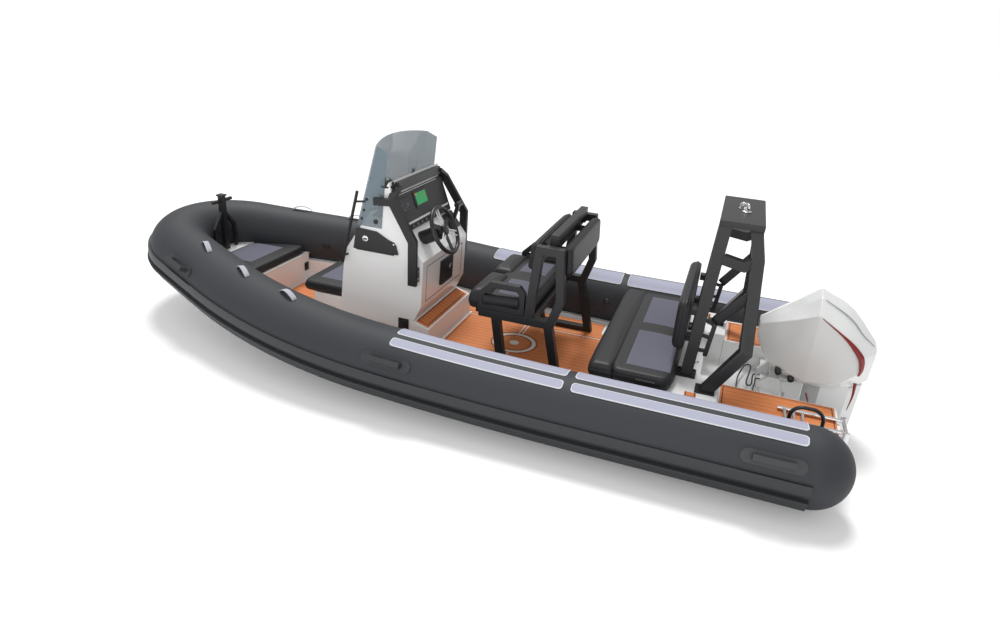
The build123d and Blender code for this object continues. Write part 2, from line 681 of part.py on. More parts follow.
# ---------------------------------------------------------------- arch
arch_top = 1348
front_foot = (540, 385, bench_top)
front_top = (479, 300, arch_top)
rear_foot = (409, 566, bench_top)
rear_knee = (228, 548, 667)
rear_elbow = (260, 340, 1170)
rear_top = (302, 272, arch_top)
front_leg_arch = bar([front_foot, front_top], arch_bar, arch_bar, flat_start=True, flat_end=True)
rear_leg_arch = bar([rear_foot, rear_knee, rear_elbow, rear_top], arch_bar, arch_bar,
                    flat_start=True, flat_end=True)
brace = bar([(457, 330, 1150), (330, 345, 1130), rear_elbow], arch_bar - 12, arch_bar - 12)
foot_plate = block((480, 600), (325, 445), (bench_top, bench_top + 10))
rear_plate_side = 620       # its outboard edge
rear_plate = block((350, 470), (506, rear_plate_side), (bench_top, bench_top + 10))
side_arch = front_leg_arch + rear_leg_arch + brace + foot_plate + rear_plate
pieces["arch_port"] = largest(side_arch)
pieces["arch_starboard"] = mirrored(pieces["arch_port"])
top_plate = block((260, 520), (-345, 345), (arch_top, arch_top + 40))
pieces["arch_top"] = top_plate
brackets = []
for z in (610, 790):
    bracket = block((500, 620), (312, 372), (z - 20, z + 20))
    bracket = bracket - bench_back_pad - front_leg_arch
    brackets.append(bracket.solids().sort_by(Axis.X)[-1])
pieces["backrest_brackets"] = pairOf(Compound(children=brackets))

# Lamp with an eye on top of the arch
light = Pos(390, 0, arch_top + 40 + 20) * Cylinder(24, 40)
pieces["arch_lamp"] = light

# ---------------------------------------------------------------- stern fittings
hoop_y = tube_spacing - tube_radius - 2
ladder_rod = 12
ladder_z = aft_deck_top + pad_thickness + ladder_rod + 5
ladder_hinge_x = platform_aft - 20
ladder_y = (hoop_y - 178, hoop_y - 38)
ladder = None
for y in ladder_y:
    rail = rod([(ladder_hinge_x, y, ladder_z), (-20, y, ladder_z)], ladder_rod)
    ladder = rail if ladder is None else ladder + rail
for x in (-60, -110, -160):
    ladder = ladder + rod([(x, ladder_y[0], ladder_z), (x, ladder_y[1], ladder_z)], ladder_rod - 2)
barrel = Pos(ladder_hinge_x, sum(ladder_y) / 2, ladder_z) * Rot(90, 0, 0) * Cylinder(ladder_rod, 150)
pieces["boarding_ladder"] = largest(ladder + barrel)
lugs = None
for side in (1, -1):
    y = sum(ladder_y) / 2 + side * 92
    lug = block((ladder_hinge_x - 14, platform_aft), (y - 6, y + 6), (aft_deck_top - 40, ladder_z + 14))
    pin = Pos(ladder_hinge_x, y - side * 10, ladder_z) * Rot(90, 0, 0) * Cylinder(5, 26)
    lug = lug + pin
    lugs = [lug] if lugs is None else lugs + [lug]
pieces["boarding_ladder"] = largest(pieces["boarding_ladder"] - Pos(ladder_hinge_x, 0, ladder_z)
                                    * Rot(90, 0, 0) * Cylinder(5 + clearance, 2000))
pieces["ladder_lugs"] = Compound(children=[largest(lug) for lug in lugs])
stern_hoop = rod([(-70, hoop_y, aft_deck_top), (-70, hoop_y, 480), (-250, hoop_y, 480),
                  (-250, hoop_y, aft_deck_top)],
                 11, 70)
pieces["stern_hoop"] = stern_hoop

# ---------------------------------------------------------------- outboard motor
clamp_outline = [(0, -40), (0, 250), (75, 250), (75, 190), (88, 190), (88, 275), (30, 340), (-45, 340),
                 (-70, 250), (-40, -40)]
clamp_half = 112
clamp = sidePrism(clamp_outline, clamp_half - 16, clamp_half + 16)
clamp = clamp + mirrored(clamp)
tilt_tube = Pos(motor_tilt_x, 0, motor_tilt_z) * Rot(90, 0, 0) * Cylinder(16, 2 * clamp_half + 60)
pieces["clamp_bracket"] = largest(clamp + tilt_tube)

swivel_half = clamp_half - 16 - 2
swivel_outline = [(15, 335), (-190, 335), (-190, -120), (-120, -120), (-95, 230), (15, 265)]
shaft_radius = 20
swivel = sidePrism(swivel_outline, -swivel_half, swivel_half)
swivel = swivel - Pos(motor_tilt_x, 0, motor_tilt_z) * Rot(90, 0, 0) * Cylinder(16 + clearance, 400)
swivel = swivel - Pos(steer_axis_x, 0, 100) * Cylinder(shaft_radius + clearance, 600)
pieces["swivel_bracket"] = largest(swivel)
steering_shaft = Pos(steer_axis_x, 0, 105) * Cylinder(shaft_radius, 520)
steering_shaft = steering_shaft + block((-240, -135), (-40, 40), (341, 365))
steering_shaft = steering_shaft + block((-240, -135), (-40, 40), (-155, -126))

cowl_side = [(70, 470), (140, 660), (-190, 956), (-560, 640), (-575, 560), (-555, 380), (-290, 400), (0, 440)]
cowl_plan = [(150, 120), (60, 215), (-100, 250), (-430, 215), (-580, 90), (-580, -90), (-430, -215),
             (-100, -250), (60, -215), (150, -120)]
cowl_end = [(-250, 380), (-250, 640), (-150, 860), (-40, 960), (40, 960), (150, 860), (250, 640), (250, 380)]
cowl = (sidePrism(cowl_side, -300, 300) & planPrism(cowl_plan, 300, 1000)
        & endPrism(cowl_end, -600, 200))
pieces["motor_cowl"] = largest(cowl)


def motorSection(z, x_fore, x_aft, half):
    quarter = (x_fore - x_aft) / 4
    points = [(x_fore, 0), (x_fore - quarter, half), (x_aft + quarter, half), (x_aft, half / 3),
              (x_aft, -half / 3), (x_aft + quarter, -half), (x_fore - quarter, -half)]
    return Wire.make_polygon([Vector(x, y, z) for x, y in points], close=True)


leg_sections = [(440, -205, -540, 150), (0, -215, -530, 95), (cavitation_plate_z, -215, -440, 40)]
leg = Solid.make_loft([motorSection(*row) for row in leg_sections], True)
pieces["motor_leg"] = largest(leg + steering_shaft - pieces["motor_cowl"])
gear_sections = [(cavitation_plate_z, -215, -440, 40), (propeller_axis_z + 20, -230, -420, 26)]
gearcase = Solid.make_loft([motorSection(*row) for row in gear_sections], True)
plate = planPrism([(-200, 30), (-260, 85), (-640, 95), (-640, -95), (-260, -85), (-200, -30)],
                  cavitation_plate_z - 8, cavitation_plate_z)
torpedo_line = [(-140, 0), (-180, 38), (-260, 56), (-430, 56), (-505, 44), (-505, 0)]
torpedo = revolve(make_face(Polyline(*[(x, 0, propeller_axis_z + r) for x, r in torpedo_line], close=True)),
                  Axis((0, 0, propeller_axis_z), (1, 0, 0)))
skeg = sidePrism([(-230, propeller_axis_z), (-420, propeller_axis_z), (-440, propeller_axis_z - 190),
                  (-330, propeller_axis_z - 190)], -7, 7)
shaft_end = propeller_x - 70
propeller_shaft = 12
shaft_centre = Pos((shaft_end - 500) / 2, 0, propeller_axis_z)
shaft = shaft_centre * Rot(0, 90, 0) * Cylinder(propeller_shaft, -shaft_end - 500)
pieces["gearcase"] = gearcase + plate + torpedo + skeg + shaft

hub = Pos(propeller_x, 0, propeller_axis_z) * Rot(0, 90, 0) * Cylinder(42, 108)
propeller = hub
for blade in range(3):
    angle = 120 * blade
    root = [(-30, 36), (30, 36), (30, 44), (-30, 44)]
    blade_shape = Box(8, 110, propeller_radius - 36, align=(Align.CENTER, Align.CENTER, Align.MIN))
    placed = (Pos(propeller_x, 0, propeller_axis_z) * Rot(angle, 0, 0) * Pos(0, 0, 36)
              * Rot(0, 0, 30) * blade_shape)
    propeller = propeller + placed
trim = Pos(propeller_x, 0, propeller_axis_z) * Rot(0, 90, 0) * Cylinder(propeller_radius, 200)
bore = Pos(propeller_x, 0, propeller_axis_z) * Rot(0, 90, 0) * Cylinder(propeller_shaft + clearance, 300)
pieces["propeller"] = largest((propeller & trim) - bore)

# ---------------------------------------------------------------- towing eyes
eye_hole = 12
eye_ring = 28
eye_thickness = 14


def eyeLug(tail_length, tail_width):
    # a flat lug lying in XY with a hole through it, its tail running along +X
    tail = Pos(tail_length / 2, 0, 0) * Box(tail_length, tail_width, eye_thickness)
    lug = Cylinder(eye_ring, eye_thickness) + tail
    return lug - Cylinder(eye_hole, 3 * eye_thickness)


bow_eye_x = bow_x - 130
bow_eye = Pos(bow_eye_x, 0, 20) * Rot(90, 0, 0) * Rot(0, 0, 123) * eyeLug(48, 50)
pieces["bow_eye"] = largest(bow_eye - pieces["hull"])
stern_eye = Pos(-40, 300, 60) * eyeLug(40, 50)
pieces["stern_eyes"] = pairOf(stern_eye)

# ---------------------------------------------------------------- deck pads
# The floor's pad goes all round the console and the forward seat; its aft corners step
# in beside the bench. The seat's feet stand on it.
floor_pad = wellPrism(well_side + 65, bench_front + pad_margin, deck_height, floor_top)
floor_pad = floor_pad - block((locker_back - 25, bow_x), (-tube_spacing, tube_spacing),
                              (deck_height, floor_top))
for x_low, x_high, half in ((console_foot_x, 3090, console_half), (3080, seat_front, 300)):
    floor_pad = floor_pad - block((x_low - pad_margin, x_high + pad_margin),
                                  (-half - pad_margin, half + pad_margin), (deck_height, floor_top))
corner_step = [(bench_front, 395), (1185, 400), (1253, 480), (1253, tube_spacing),
               (bench_front, tube_spacing)]
step_cut = planPrism(corner_step, deck_height, floor_top)
floor_pad = largest(floor_pad - step_cut - mirrored(step_cut))
stern_pad = block((platform_aft + pad_margin, 330 - pad_margin), (motor_well_half + pad_margin, hoop_y - 18),
                  (aft_deck_top, aft_deck_top + pad_thickness))
bench_pad = block((455, 525), (rear_plate_side + pad_margin, 700), (bench_top, bench_top + pad_thickness))
step_pad = facePlate(between(*footrest, 0.1), between(*footrest, 0.9), 25 - console_half, console_half - 25,
                     pad_thickness)
pads = [floor_pad, step_pad]
for pad in (stern_pad, bench_pad):
    pads += [pad, mirrored(pad)]
pieces["deck_pads"] = Compound(children=[p.solid() for p in pads])

# ---------------------------------------------------------------- hoses in the motor well
# Each runs over the well's floor from its port wall to the transom's forward face
hose_radius = 5
hose_side = motor_well_half - clearance
hose_end_x = transom_thickness + clearance
hose_routes = {
    "motor_hose_1": [(200, hose_side, 196), (212, -20, 188), (172, -230, 195), (148, -300, 200),
                     (108, -290, 200), (124, -170, 192), (146, 8, 188), (104, 8, 188),
                     (100, -150, 189), (88, -190, 190), (hose_end_x, -190, 190)],
    "motor_hose_2": [(104, hose_side, 200), (100, 150, 205), (97, 60, 212), (86, 0, 215),
                     (86, -68, 218), (hose_end_x, -68, 218)],
}
for node, points in hose_routes.items():
    corners = [Vector(*point) for point in points]
    runs = [b - a for a, b in zip(corners, corners[1:])]
    bends = []
    for before, after in zip(runs, runs[1:]):
        turn = radians(before.get_angle(after))
        bends.append(0.45 * min(before.length, after.length) / tan(turn / 2))
    bends = [min(bend, 220) for bend in bends]
    path = FilletPolyline(*points, radius=bends)
    hose = sweep(Plane(path @ 0, z_dir=path % 0) * Circle(hose_radius), path=path)
    pieces[node] = hose
    print(node, "length", round(path.length), "radii", [round(bend) for bend in bends],
          "volume ratio", round(hose.volume / (pi * hose_radius ** 2 * path.length), 3))

os.makedirs("parts", exist_ok=True)
for node, shape in pieces.items():
    export_step(shape, f"parts/{node}.step")
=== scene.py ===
import json
import bpy
import numpy as np
from mathutils import Matrix, Vector


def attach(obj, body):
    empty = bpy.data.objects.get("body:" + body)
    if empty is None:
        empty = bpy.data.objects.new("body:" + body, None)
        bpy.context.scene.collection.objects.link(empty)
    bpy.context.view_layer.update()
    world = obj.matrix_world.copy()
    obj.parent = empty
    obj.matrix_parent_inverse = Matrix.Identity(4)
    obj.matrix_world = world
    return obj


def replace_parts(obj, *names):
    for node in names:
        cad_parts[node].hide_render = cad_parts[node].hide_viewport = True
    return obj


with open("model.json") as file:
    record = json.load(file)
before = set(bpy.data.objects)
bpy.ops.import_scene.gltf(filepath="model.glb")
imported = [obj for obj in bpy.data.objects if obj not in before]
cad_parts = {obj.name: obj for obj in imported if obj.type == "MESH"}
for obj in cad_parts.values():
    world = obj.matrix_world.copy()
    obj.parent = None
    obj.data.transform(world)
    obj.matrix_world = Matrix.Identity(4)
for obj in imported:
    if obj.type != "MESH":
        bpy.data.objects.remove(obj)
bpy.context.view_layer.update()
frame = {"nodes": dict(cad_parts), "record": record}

nodes = frame["nodes"]
sides = ((1, "port"), (-1, "starboard"))

# Camera and studio; each lamp is its name, place, aim, size and power
studio = {
    "cameraPlace": (0.495, 4.433, 2.413),
    "cameraAhead": (0.2868, -0.8686, -0.4042),
    "cameraRight": (-0.9387, -0.3389, 0.0624),
    "cameraUp": (0.1912, -0.3615, 0.9126),
    "lens": 24.24,
    "sensor": 36,
    "farthest": 200,
    "lamps": [("fillLamp", (6.5, 2.0, 5.0), (2.0, 0, 0.2), 4.0, 50),
              ("portLamp", (0.8, 7.0, 3.0), (2.0, 0, 0.4), 5.0, 150)],
    "skyLight": 0.55,
    "sunLight": 2.3, "sunAngle": 0.35, "sunAim": (-0.22, 0.45, -1.0),
    "floorSize": 60.0, "floorShade": (0.9, 0.9, 0.9, 1), "floorGlow": 0.12,
}


def newObject(name, data):
    made = bpy.data.objects.new(name, data)
    bpy.context.scene.collection.objects.link(made)
    return made


def makeCamera():
    data = bpy.data.cameras.new("camera")
    data.lens = studio["lens"]
    data.sensor_width = studio["sensor"]
    data.sensor_fit = "HORIZONTAL"
    data.clip_end = studio["farthest"]
    camera = newObject("camera", data)
    axes = [studio["cameraRight"], studio["cameraUp"], [-v for v in studio["cameraAhead"]]]
    turn = Matrix(axes).transposed().to_4x4()
    camera.matrix_world = Matrix.Translation(studio["cameraPlace"]) @ turn
    bpy.context.scene.camera = camera


def newLamp(name, kind, power, aim, place=(0, 0, 0)):
    lamp = bpy.data.lights.new(name, kind)
    lamp.energy = power
    turn = Vector(aim).to_track_quat("-Z", "Y").to_matrix().to_4x4()
    newObject(name, lamp).matrix_world = Matrix.Translation(place) @ turn
    return lamp


def makeStudio():
    scene = bpy.context.scene
    scene.view_settings.view_transform = "Standard"
    world = bpy.data.worlds.new("studio")
    scene.world = world
    world.use_nodes = True
    tree = world.node_tree
    sky = tree.nodes["Background"]
    sky.inputs[0].default_value = (1, 1, 1, 1)
    # the sky is white to the camera and dimmer as a light
    rays = tree.nodes.new("ShaderNodeLightPath")
    level = tree.nodes.new("ShaderNodeMix")
    level.inputs["A"].default_value = studio["skyLight"]
    level.inputs["B"].default_value = 1.0
    tree.links.new(rays.outputs["Is Camera Ray"], level.inputs["Factor"])
    tree.links.new(level.outputs["Result"], sky.inputs[1])
    for name, place, aim, size, power in studio["lamps"]:
        newLamp(name, "AREA", power, Vector(aim) - Vector(place), place).size = size
    newLamp("sun", "SUN", studio["sunLight"], studio["sunAim"]).angle = studio["sunAngle"]


def makeFloor():
    half = studio["floorSize"] / 2
    mesh = bpy.data.meshes.new("floor")
    mesh.from_pydata([(-half, -half, 0), (half, -half, 0), (half, half, 0), (-half, half, 0)], [],
                     [(0, 1, 2, 3)])
    floor = newObject("floor", mesh)
    material = bpy.data.materials.new("floor")
    material.use_nodes = True
    tree = material.node_tree
    shader = tree.nodes["Principled BSDF"]
    shader.inputs["Base Color"].default_value = studio["floorShade"]
    shader.inputs["Roughness"].default_value = 1.0
    shader.inputs["Specular IOR Level"].default_value = 0.0
    glow = tree.nodes.new("ShaderNodeEmission")
    rays = tree.nodes.new("ShaderNodeLightPath")
    addUp = tree.nodes.new("ShaderNodeAddShader")
    tree.links.new(rays.outputs["Is Camera Ray"], glow.inputs["Strength"])
    glow.inputs["Color"].default_value = (studio["floorGlow"],) * 3 + (1,)
    tree.links.new(shader.outputs[0], addUp.inputs[0])
    tree.links.new(glow.outputs[0], addUp.inputs[1])
    tree.links.new(addUp.outputs[0], tree.nodes["Material Output"].inputs[0])
    mesh.materials.append(material)


makeCamera()
makeStudio()
makeFloor()
print("studio ready")


# Shader arithmetic: a socket that takes part in Python expressions
class Signal:
    def __init__(self, tree, socket):
        self.tree = tree
        self.socket = socket

    def node(self, kind, inputs, output=0, **settings):
        made = self.tree.nodes.new(kind)
        for key, value in settings.items():
            setattr(made, key, value)
        for key, value in inputs.items():
            if isinstance(value, Signal):
                self.tree.links.new(value.socket, made.inputs[key])
            else:
                made.inputs[key].default_value = value
        return Signal(self.tree, made.outputs[output])

    def maths(self, operation, first, second=0.0, third=0.0):
        return self.node("ShaderNodeMath", {0: first, 1: second, 2: third}, operation=operation)

    def __add__(self, other):
        return self.maths("ADD", self, other)

    __radd__ = __add__

    def __sub__(self, other):
        return self.maths("SUBTRACT", self, other)

    def __rsub__(self, other):
        return self.maths("SUBTRACT", other, self)

    def __mul__(self, other):
        return self.maths("MULTIPLY", self, other)

    __rmul__ = __mul__

    def __truediv__(self, other):
        return self.maths("DIVIDE", self, other)

    def below(self, level):
        return self.maths("LESS_THAN", self, level)

    def above(self, level):
        return self.maths("GREATER_THAN", self, level)

    def size(self):
        return self.maths("ABSOLUTE", self)

    def smallest(self, other):
        return self.maths("MINIMUM", self, other)

    def greatest(self, other):
        return self.maths("MAXIMUM", self, other)

    def repeat(self, period):
        return self.maths("WRAP", self, period, 0.0)


def mixColours(share, first, second):
    # share 0 gives the first colour, 1 the second
    return share.node("ShaderNodeMix", {0: share, 6: first, 7: second}, output=2, data_type="RGBA")


def colour(red, green, blue):
    return (red, green, blue, 1.0)


def newMaterial(name, constants, varying=None):
    # varying(origin, x, y, z) returns the inputs that change over the surface
    material = bpy.data.materials.new(name)
    material.use_nodes = True
    tree = material.node_tree
    shader = tree.nodes["Principled BSDF"]
    for key, value in constants.items():
        shader.inputs[key].default_value = value
    if varying is not None:
        place = tree.nodes.new("ShaderNodeTexCoord")
        split = tree.nodes.new("ShaderNodeSeparateXYZ")
        tree.links.new(place.outputs["Object"], split.inputs[0])
        origin = Signal(tree, place.outputs["Object"])
        parts = [Signal(tree, split.outputs[i]) for i in range(3)]
        for key, value in varying(origin, *parts).items():
            tree.links.new(value.socket, shader.inputs[key])
    return material


inputNames = {"specular": "Specular IOR Level", "coat": "Coat Weight", "metallic": "Metallic",
              "alpha": "Alpha"}


def plainFinish(name, shade, roughness, varying=None, **others):
    # a finish of one shade, its other constants named as in inputNames
    constants = {"Base Color": colour(*shade), "Roughness": roughness}
    constants.update({inputNames[key]: value for key, value in others.items()})
    return newMaterial(name, constants, varying)


def noise(origin, scale, detail=3.0, stretch=None):
    if stretch is not None:
        origin = origin.node("ShaderNodeVectorMath", {0: origin, 1: stretch}, operation="MULTIPLY")
    return origin.node("ShaderNodeTexNoise", {"Vector": origin, "Scale": scale, "Detail": detail})


def bump(height, strength, distance):
    return height.node("ShaderNodeBump", {"Height": height, "Strength": strength, "Distance": distance})


def grain(scale, strength, distance):
    # a plain surface with fine relief
    def varying(origin, x, y, z):
        return {"Normal": bump(noise(origin, scale), strength, distance)}
    return varying


def depthInside(rectangles, x, y):
    # how deep a place lies inside the rectangles (xLow, xHigh, yLow, yHigh), below 0 outside
    depth = None
    for xLow, xHigh, yLow, yHigh in rectangles:
        inside = (x - xLow).smallest(xHigh - x).smallest((y - yLow).smallest(yHigh - y))
        depth = inside if depth is None else depth.greatest(inside)
    return depth


# Cushions: black vinyl, quilted grey cloth panels whose stitch lines hold painted crease shade
quilted = {
    "vinyl": colour(0.014, 0.014, 0.016),
    "cloth": colour(0.125, 0.125, 0.165),
    "stitchAndCreaseShade": colour(0.07, 0.07, 0.095),
    "pitch": 0.024, "stitchDepth": 0.004, "creaseShadeWidth": 0.003, "seam": 0.006, "weave": 0.35,
    "grain": (260.0, 0.12), "nowhere": (9.0, 9.1, 9.0, 9.1),
}


def cushionMaterial(name, rectangles):
    pitch = quilted["pitch"]

    def varying(origin, x, y, z):
        depth = depthInside(rectangles, x, y)
        panel = depth.above(0.0)
        seam = 1 - (depth.size() / quilted["seam"]).smallest(1.0)
        quilt = ((x + y).repeat(pitch) - pitch / 2).size().smallest(
            ((x - y).repeat(pitch) - pitch / 2).size())
        weave = panel * (quilt / quilted["stitchDepth"]).smallest(1.0) * quilted["weave"]
        scale, strength = quilted["grain"]
        # the stitch lines darken softly to their middle: painted shade in the quilting's creases
        shade = mixColours((quilt / quilted["creaseShadeWidth"]).smallest(1.0), quilted["stitchAndCreaseShade"],
                           quilted["cloth"])
        return {
            "Base Color": mixColours(panel, quilted["vinyl"], shade),
            "Roughness": 0.48 + panel * 0.3,
            "Normal": bump(weave - seam + noise(origin, scale) * strength, 0.6, 0.002),
        }
    return newMaterial(name, {"Specular IOR Level": 0.35}, varying)


# Teak: the round motif's rings are each a radius and a half width; lines are half widths
teak = {
    "wood": colour(0.7, 0.235, 0.07),
    "woodDark": colour(0.55, 0.16, 0.042),
    "line": colour(0.045, 0.016, 0.008),
    "white": colour(0.75, 0.72, 0.68),
    "plank": 0.048, "plankShift": 10.0, "seam": 0.0011,
    "floorTop": 0.16, "floorEnd": 2.34,
    "ringPlace": 1.828, "whiteRing": (0.15, 0.013), "darkRings": [(0.176, 0.003), (0.128, 0.004)],
    "spot": 0.036, "clearing": 0.172,
    "sideLine": 0.357, "crossPlace": 1.831, "crossApart": 0.014, "crossStart": 0.176,
    "whiteHalf": 0.004, "darkApart": 0.01, "darkHalf": 0.0025,
    "borderHalf": 0.003, "frontLine": 2.318,
    "sternBase": 0.32, "sternEnd": 0.6, "stepBase": 0.2, "stepStart": 1.5,
    "sternPads": [(-0.34, 0.3, 0.38, 0.685), (-0.34, 0.3, -0.685, -0.38),
                  (0.463, 0.517, 0.62, 0.692), (0.463, 0.517, -0.692, -0.62)],
    "stepPads": [(2.395, 2.47, -0.345, 0.345)],
}


def teakPattern(origin, x, y, z):
    wood = mixColours(noise(origin, 9.0, 6.0, (1.2, 9.0, 1.0)), teak["wood"], teak["woodDark"])
    seam = ((y + teak["plankShift"]).repeat(teak["plank"]) - teak["plank"] / 2).size()
    seam = seam.below(teak["seam"])
    # white lines and the round motif, on the cockpit floor only
    low = z.below(teak["floorTop"])
    cockpit = low * x.below(teak["floorEnd"])
    along = x - teak["ringPlace"]
    fromRing = x.maths("SQRT", along * along + y * y)

    def onRing(radius, half):
        return (fromRing - radius).size().below(half)

    def borderOf(rectangles):
        return depthInside(rectangles, x, y).size().below(teak["borderHalf"])

    sideLine = (y.size() - teak["sideLine"]).size()
    crossLine = ((x - teak["crossPlace"]).size() - teak["crossApart"]).size().greatest(
        teak["crossStart"] - y.size())
    white = sideLine.below(teak["whiteHalf"]).greatest(crossLine.below(teak["whiteHalf"]))
    white = white.greatest(onRing(*teak["whiteRing"])).greatest(fromRing.below(teak["spot"]))
    dark = (sideLine - teak["darkApart"]).size().below(teak["darkHalf"])
    for radius, half in teak["darkRings"]:
        dark = dark.greatest(onRing(radius, half))
    # border lines just inside the pads' edges
    stern = borderOf(teak["sternPads"]) * z.above(teak["sternBase"]) * x.below(teak["sternEnd"])
    step = borderOf(teak["stepPads"]) * z.above(teak["stepBase"]) * x.above(teak["stepStart"])
    front = ((x - teak["frontLine"]).size().below(teak["borderHalf"]) * low
             * y.size().below(teak["sideLine"]))
    planks = seam * (1 - fromRing.below(teak["clearing"]))
    black = planks.greatest(dark * cockpit).greatest(stern).greatest(front).greatest(step)
    shade = mixColours(black, wood, teak["line"])
    return {
        "Base Color": mixColours(white * cockpit, shade, teak["white"]),
        "Normal": bump(1 - black, 0.5, 0.001),
    }


finishes = {
    "tube": plainFinish("tubeFabric", (0.034, 0.036, 0.041), 0.62, grain(420.0, 0.25, 0.0006),
                        specular=0.35),
    "tread": plainFinish("tread", (0.37, 0.38, 0.475), 0.75, grain(700.0, 0.5, 0.0008)),
    "strake": plainFinish("strake", (0.022, 0.024, 0.027), 0.5),
    "gelcoat": plainFinish("gelcoat", (0.85, 0.85, 0.845), 0.22, coat=0.4),
    "black_metal": plainFinish("blackMetal", (0.012, 0.012, 0.013), 0.42,
                               grain(900.0, 0.25, 0.0004), specular=0.45),
    "black_plastic": plainFinish("blackPlastic", (0.012, 0.012, 0.013), 0.38),
    "dash": plainFinish("dashPanel", (0.022, 0.022, 0.025), 0.4),
    "screen": plainFinish("screenGlass", (0.008, 0.008, 0.012), 0.12),
    "smoke": plainFinish("smokedSheet", (0.17, 0.23, 0.27), 0.06, alpha=0.62),
    "chrome": plainFinish("chrome", (0.75, 0.75, 0.77), 0.16, metallic=1.0),
    "motor_white": plainFinish("motorWhite", (0.74, 0.75, 0.74), 0.18, coat=0.6),
    "propeller": plainFinish("propeller", (0.45, 0.45, 0.46), 0.28, metallic=1.0),
    "cable": plainFinish("hose", (0.01, 0.01, 0.01), 0.45),
    "teak": newMaterial("teakPads", {"Roughness": 0.7}, teakPattern),
    "cushion": cushionMaterial("plainCushion", [quilted["nowhere"]]),
}
extras = {
    "webbing": plainFinish("webbing", (0.4, 0.41, 0.46), 0.8, grain(500.0, 0.6, 0.001)),
    "panelGrey": plainFinish("motorPanel", (0.62, 0.63, 0.62), 0.3, coat=0.3),
    "red": plainFinish("redStripe", (0.22, 0.008, 0.01), 0.3),
    "silver": plainFinish("silverTrim", (0.7, 0.71, 0.72), 0.35),
    "grip": plainFinish("grip", (0.03, 0.033, 0.037), 0.5),
    # grey strips painted as the shade inside the cowl's grooves
    "cowlGrooveShade": plainFinish("cowlGroove", (0.36, 0.37, 0.36), 0.4),
    # dark strips of painted shade in the gap round the console's aft door
    "groove": plainFinish("groove", (0.2, 0.2, 0.21), 0.6),
    "edge": plainFinish("paleEdge", (0.62, 0.63, 0.66), 0.7),
}
# A material with the slot it stands for
blackPlastic = {"material": finishes["black_plastic"], "slot": "black_plastic"}
blackMetal = {"material": finishes["black_metal"], "slot": "black_metal"}
chrome = {"material": finishes["chrome"], "slot": "chrome"}
print("materials ready")


def smoothAll(mesh):
    mesh.polygons.foreach_set("use_smooth", np.ones(len(mesh.polygons), dtype=bool))


# Meshes made from arrays
def newPiece(name, verts, groups, material, body="boat", slot=None, faceMaterials=None):
    # groups are arrays of faces, each with its own number of corners to a face
    mesh = bpy.data.meshes.new(name)
    points = np.asarray(verts, dtype=np.float32)
    mesh.vertices.add(len(points))
    mesh.vertices.foreach_set("co", points.ravel())
    corners = np.concatenate([group.ravel() for group in groups]).astype(np.int32)
    sizes = np.concatenate([np.full(len(group), group.shape[1]) for group in groups])
    starts = np.concatenate([[0], np.cumsum(sizes)[:-1]]).astype(np.int32)
    mesh.loops.add(len(corners))
    mesh.loops.foreach_set("vertex_index", corners)
    mesh.polygons.add(len(sizes))
    mesh.polygons.foreach_set("loop_start", starts)
    mesh.update(calc_edges=True)
    mesh.validate()
    smoothAll(mesh)
    materials = material if isinstance(material, list) else [material]
    for one in materials:
        mesh.materials.append(one)
    if faceMaterials is not None:
        mesh.polygons.foreach_set("material_index", np.asarray(faceMaterials, dtype=np.int32))
    piece = newObject(name, mesh)
    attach(piece, body)
    return piece


def weld(piece, gap):
    piece.modifiers.new("weld", "WELD").merge_threshold = gap


def roundEdges(piece, width, segments, angle):
    rounded = piece.modifiers.new("bevel", "BEVEL")
    rounded.width = width
    rounded.segments = segments
    rounded.limit_method = "ANGLE"
    rounded.angle_limit = angle
    return piece.modifiers.new("normals", "WEIGHTED_NORMAL")


def soften(piece, width):
    # rounded edges on a mesh whose triangles are loose
    weld(piece, 0.0001)
    roundEdges(piece, width, 2, 0.6).keep_sharp = True
    smoothAll(piece.data)


def gridFaces(rows, columns, closedRows=False, closedColumns=False):
    # quads of a rows x columns grid of points, either way wrapped round if closed
    i = np.arange(rows if closedRows else rows - 1)
    j = np.arange(columns if closedColumns else columns - 1)
    i, j = np.meshgrid(i, j, indexing="ij")
    iNext = (i + 1) % rows
    jNext = (j + 1) % columns
    return np.stack([i * columns + j, iNext * columns + j, iNext * columns + jNext,
                     i * columns + jNext], axis=-1).reshape(-1, 4)


def loft(name, rings, material, capped=True, **rest):
    # closed rings of equal length joined in order; both ends are capped by a fan, or
    # they're rings folded flat, whose halves are welded
    rings = np.asarray(rings, dtype=float)
    count, around, _ = rings.shape
    points = np.concatenate([rings.reshape(-1, 3), [rings[0].mean(0)], [rings[-1].mean(0)]])
    k = np.arange(around)
    kNext = (k + 1) % around
    start = np.stack([np.full(around, count * around), k, kNext], axis=-1)
    last = (count - 1) * around
    end = np.stack([np.full(around, count * around + 1), last + kNext, last + k], axis=-1)
    body = gridFaces(count, around, closedColumns=True)
    if signedVolume(points, [body, start, end]) < 0:
        body = body[:, ::-1]
        start = start[:, ::-1]
        end = end[:, ::-1]
    if capped:
        return newPiece(name, points, [body, start, end], material, **rest)
    piece = newPiece(name, points[:-2], [body], material, **rest)
    weld(piece, 0.0002)
    return piece


def signedVolume(points, groups):
    total = 0.0
    for group in groups:
        a = points[group[:, 0]]
        for n in range(1, group.shape[1] - 1):
            b, c = points[group[:, n]], points[group[:, n + 1]]
            total += np.einsum("ij,ij->i", a, np.cross(b, c)).sum()
    return total


def unit(vectors):
    return vectors / np.linalg.norm(vectors, axis=-1)[..., None]


def alongPath(name, path, profile, material, upright=(0, 0, 1), **rest):
    # a closed profile of (side, up) offsets carried along a path, up being near to upright
    path = np.asarray(path, dtype=float)
    ahead = unit(np.gradient(path, axis=0))
    side = unit(np.cross(ahead, np.asarray(upright, dtype=float) * np.ones_like(path)))
    up = np.cross(side, ahead)
    across, rise = np.asarray(profile, dtype=float).T[:, None, :, None]
    rings = path[:, None, :] + across * side[:, None, :] + rise * up[:, None, :]
    return loft(name, rings, material, **rest)


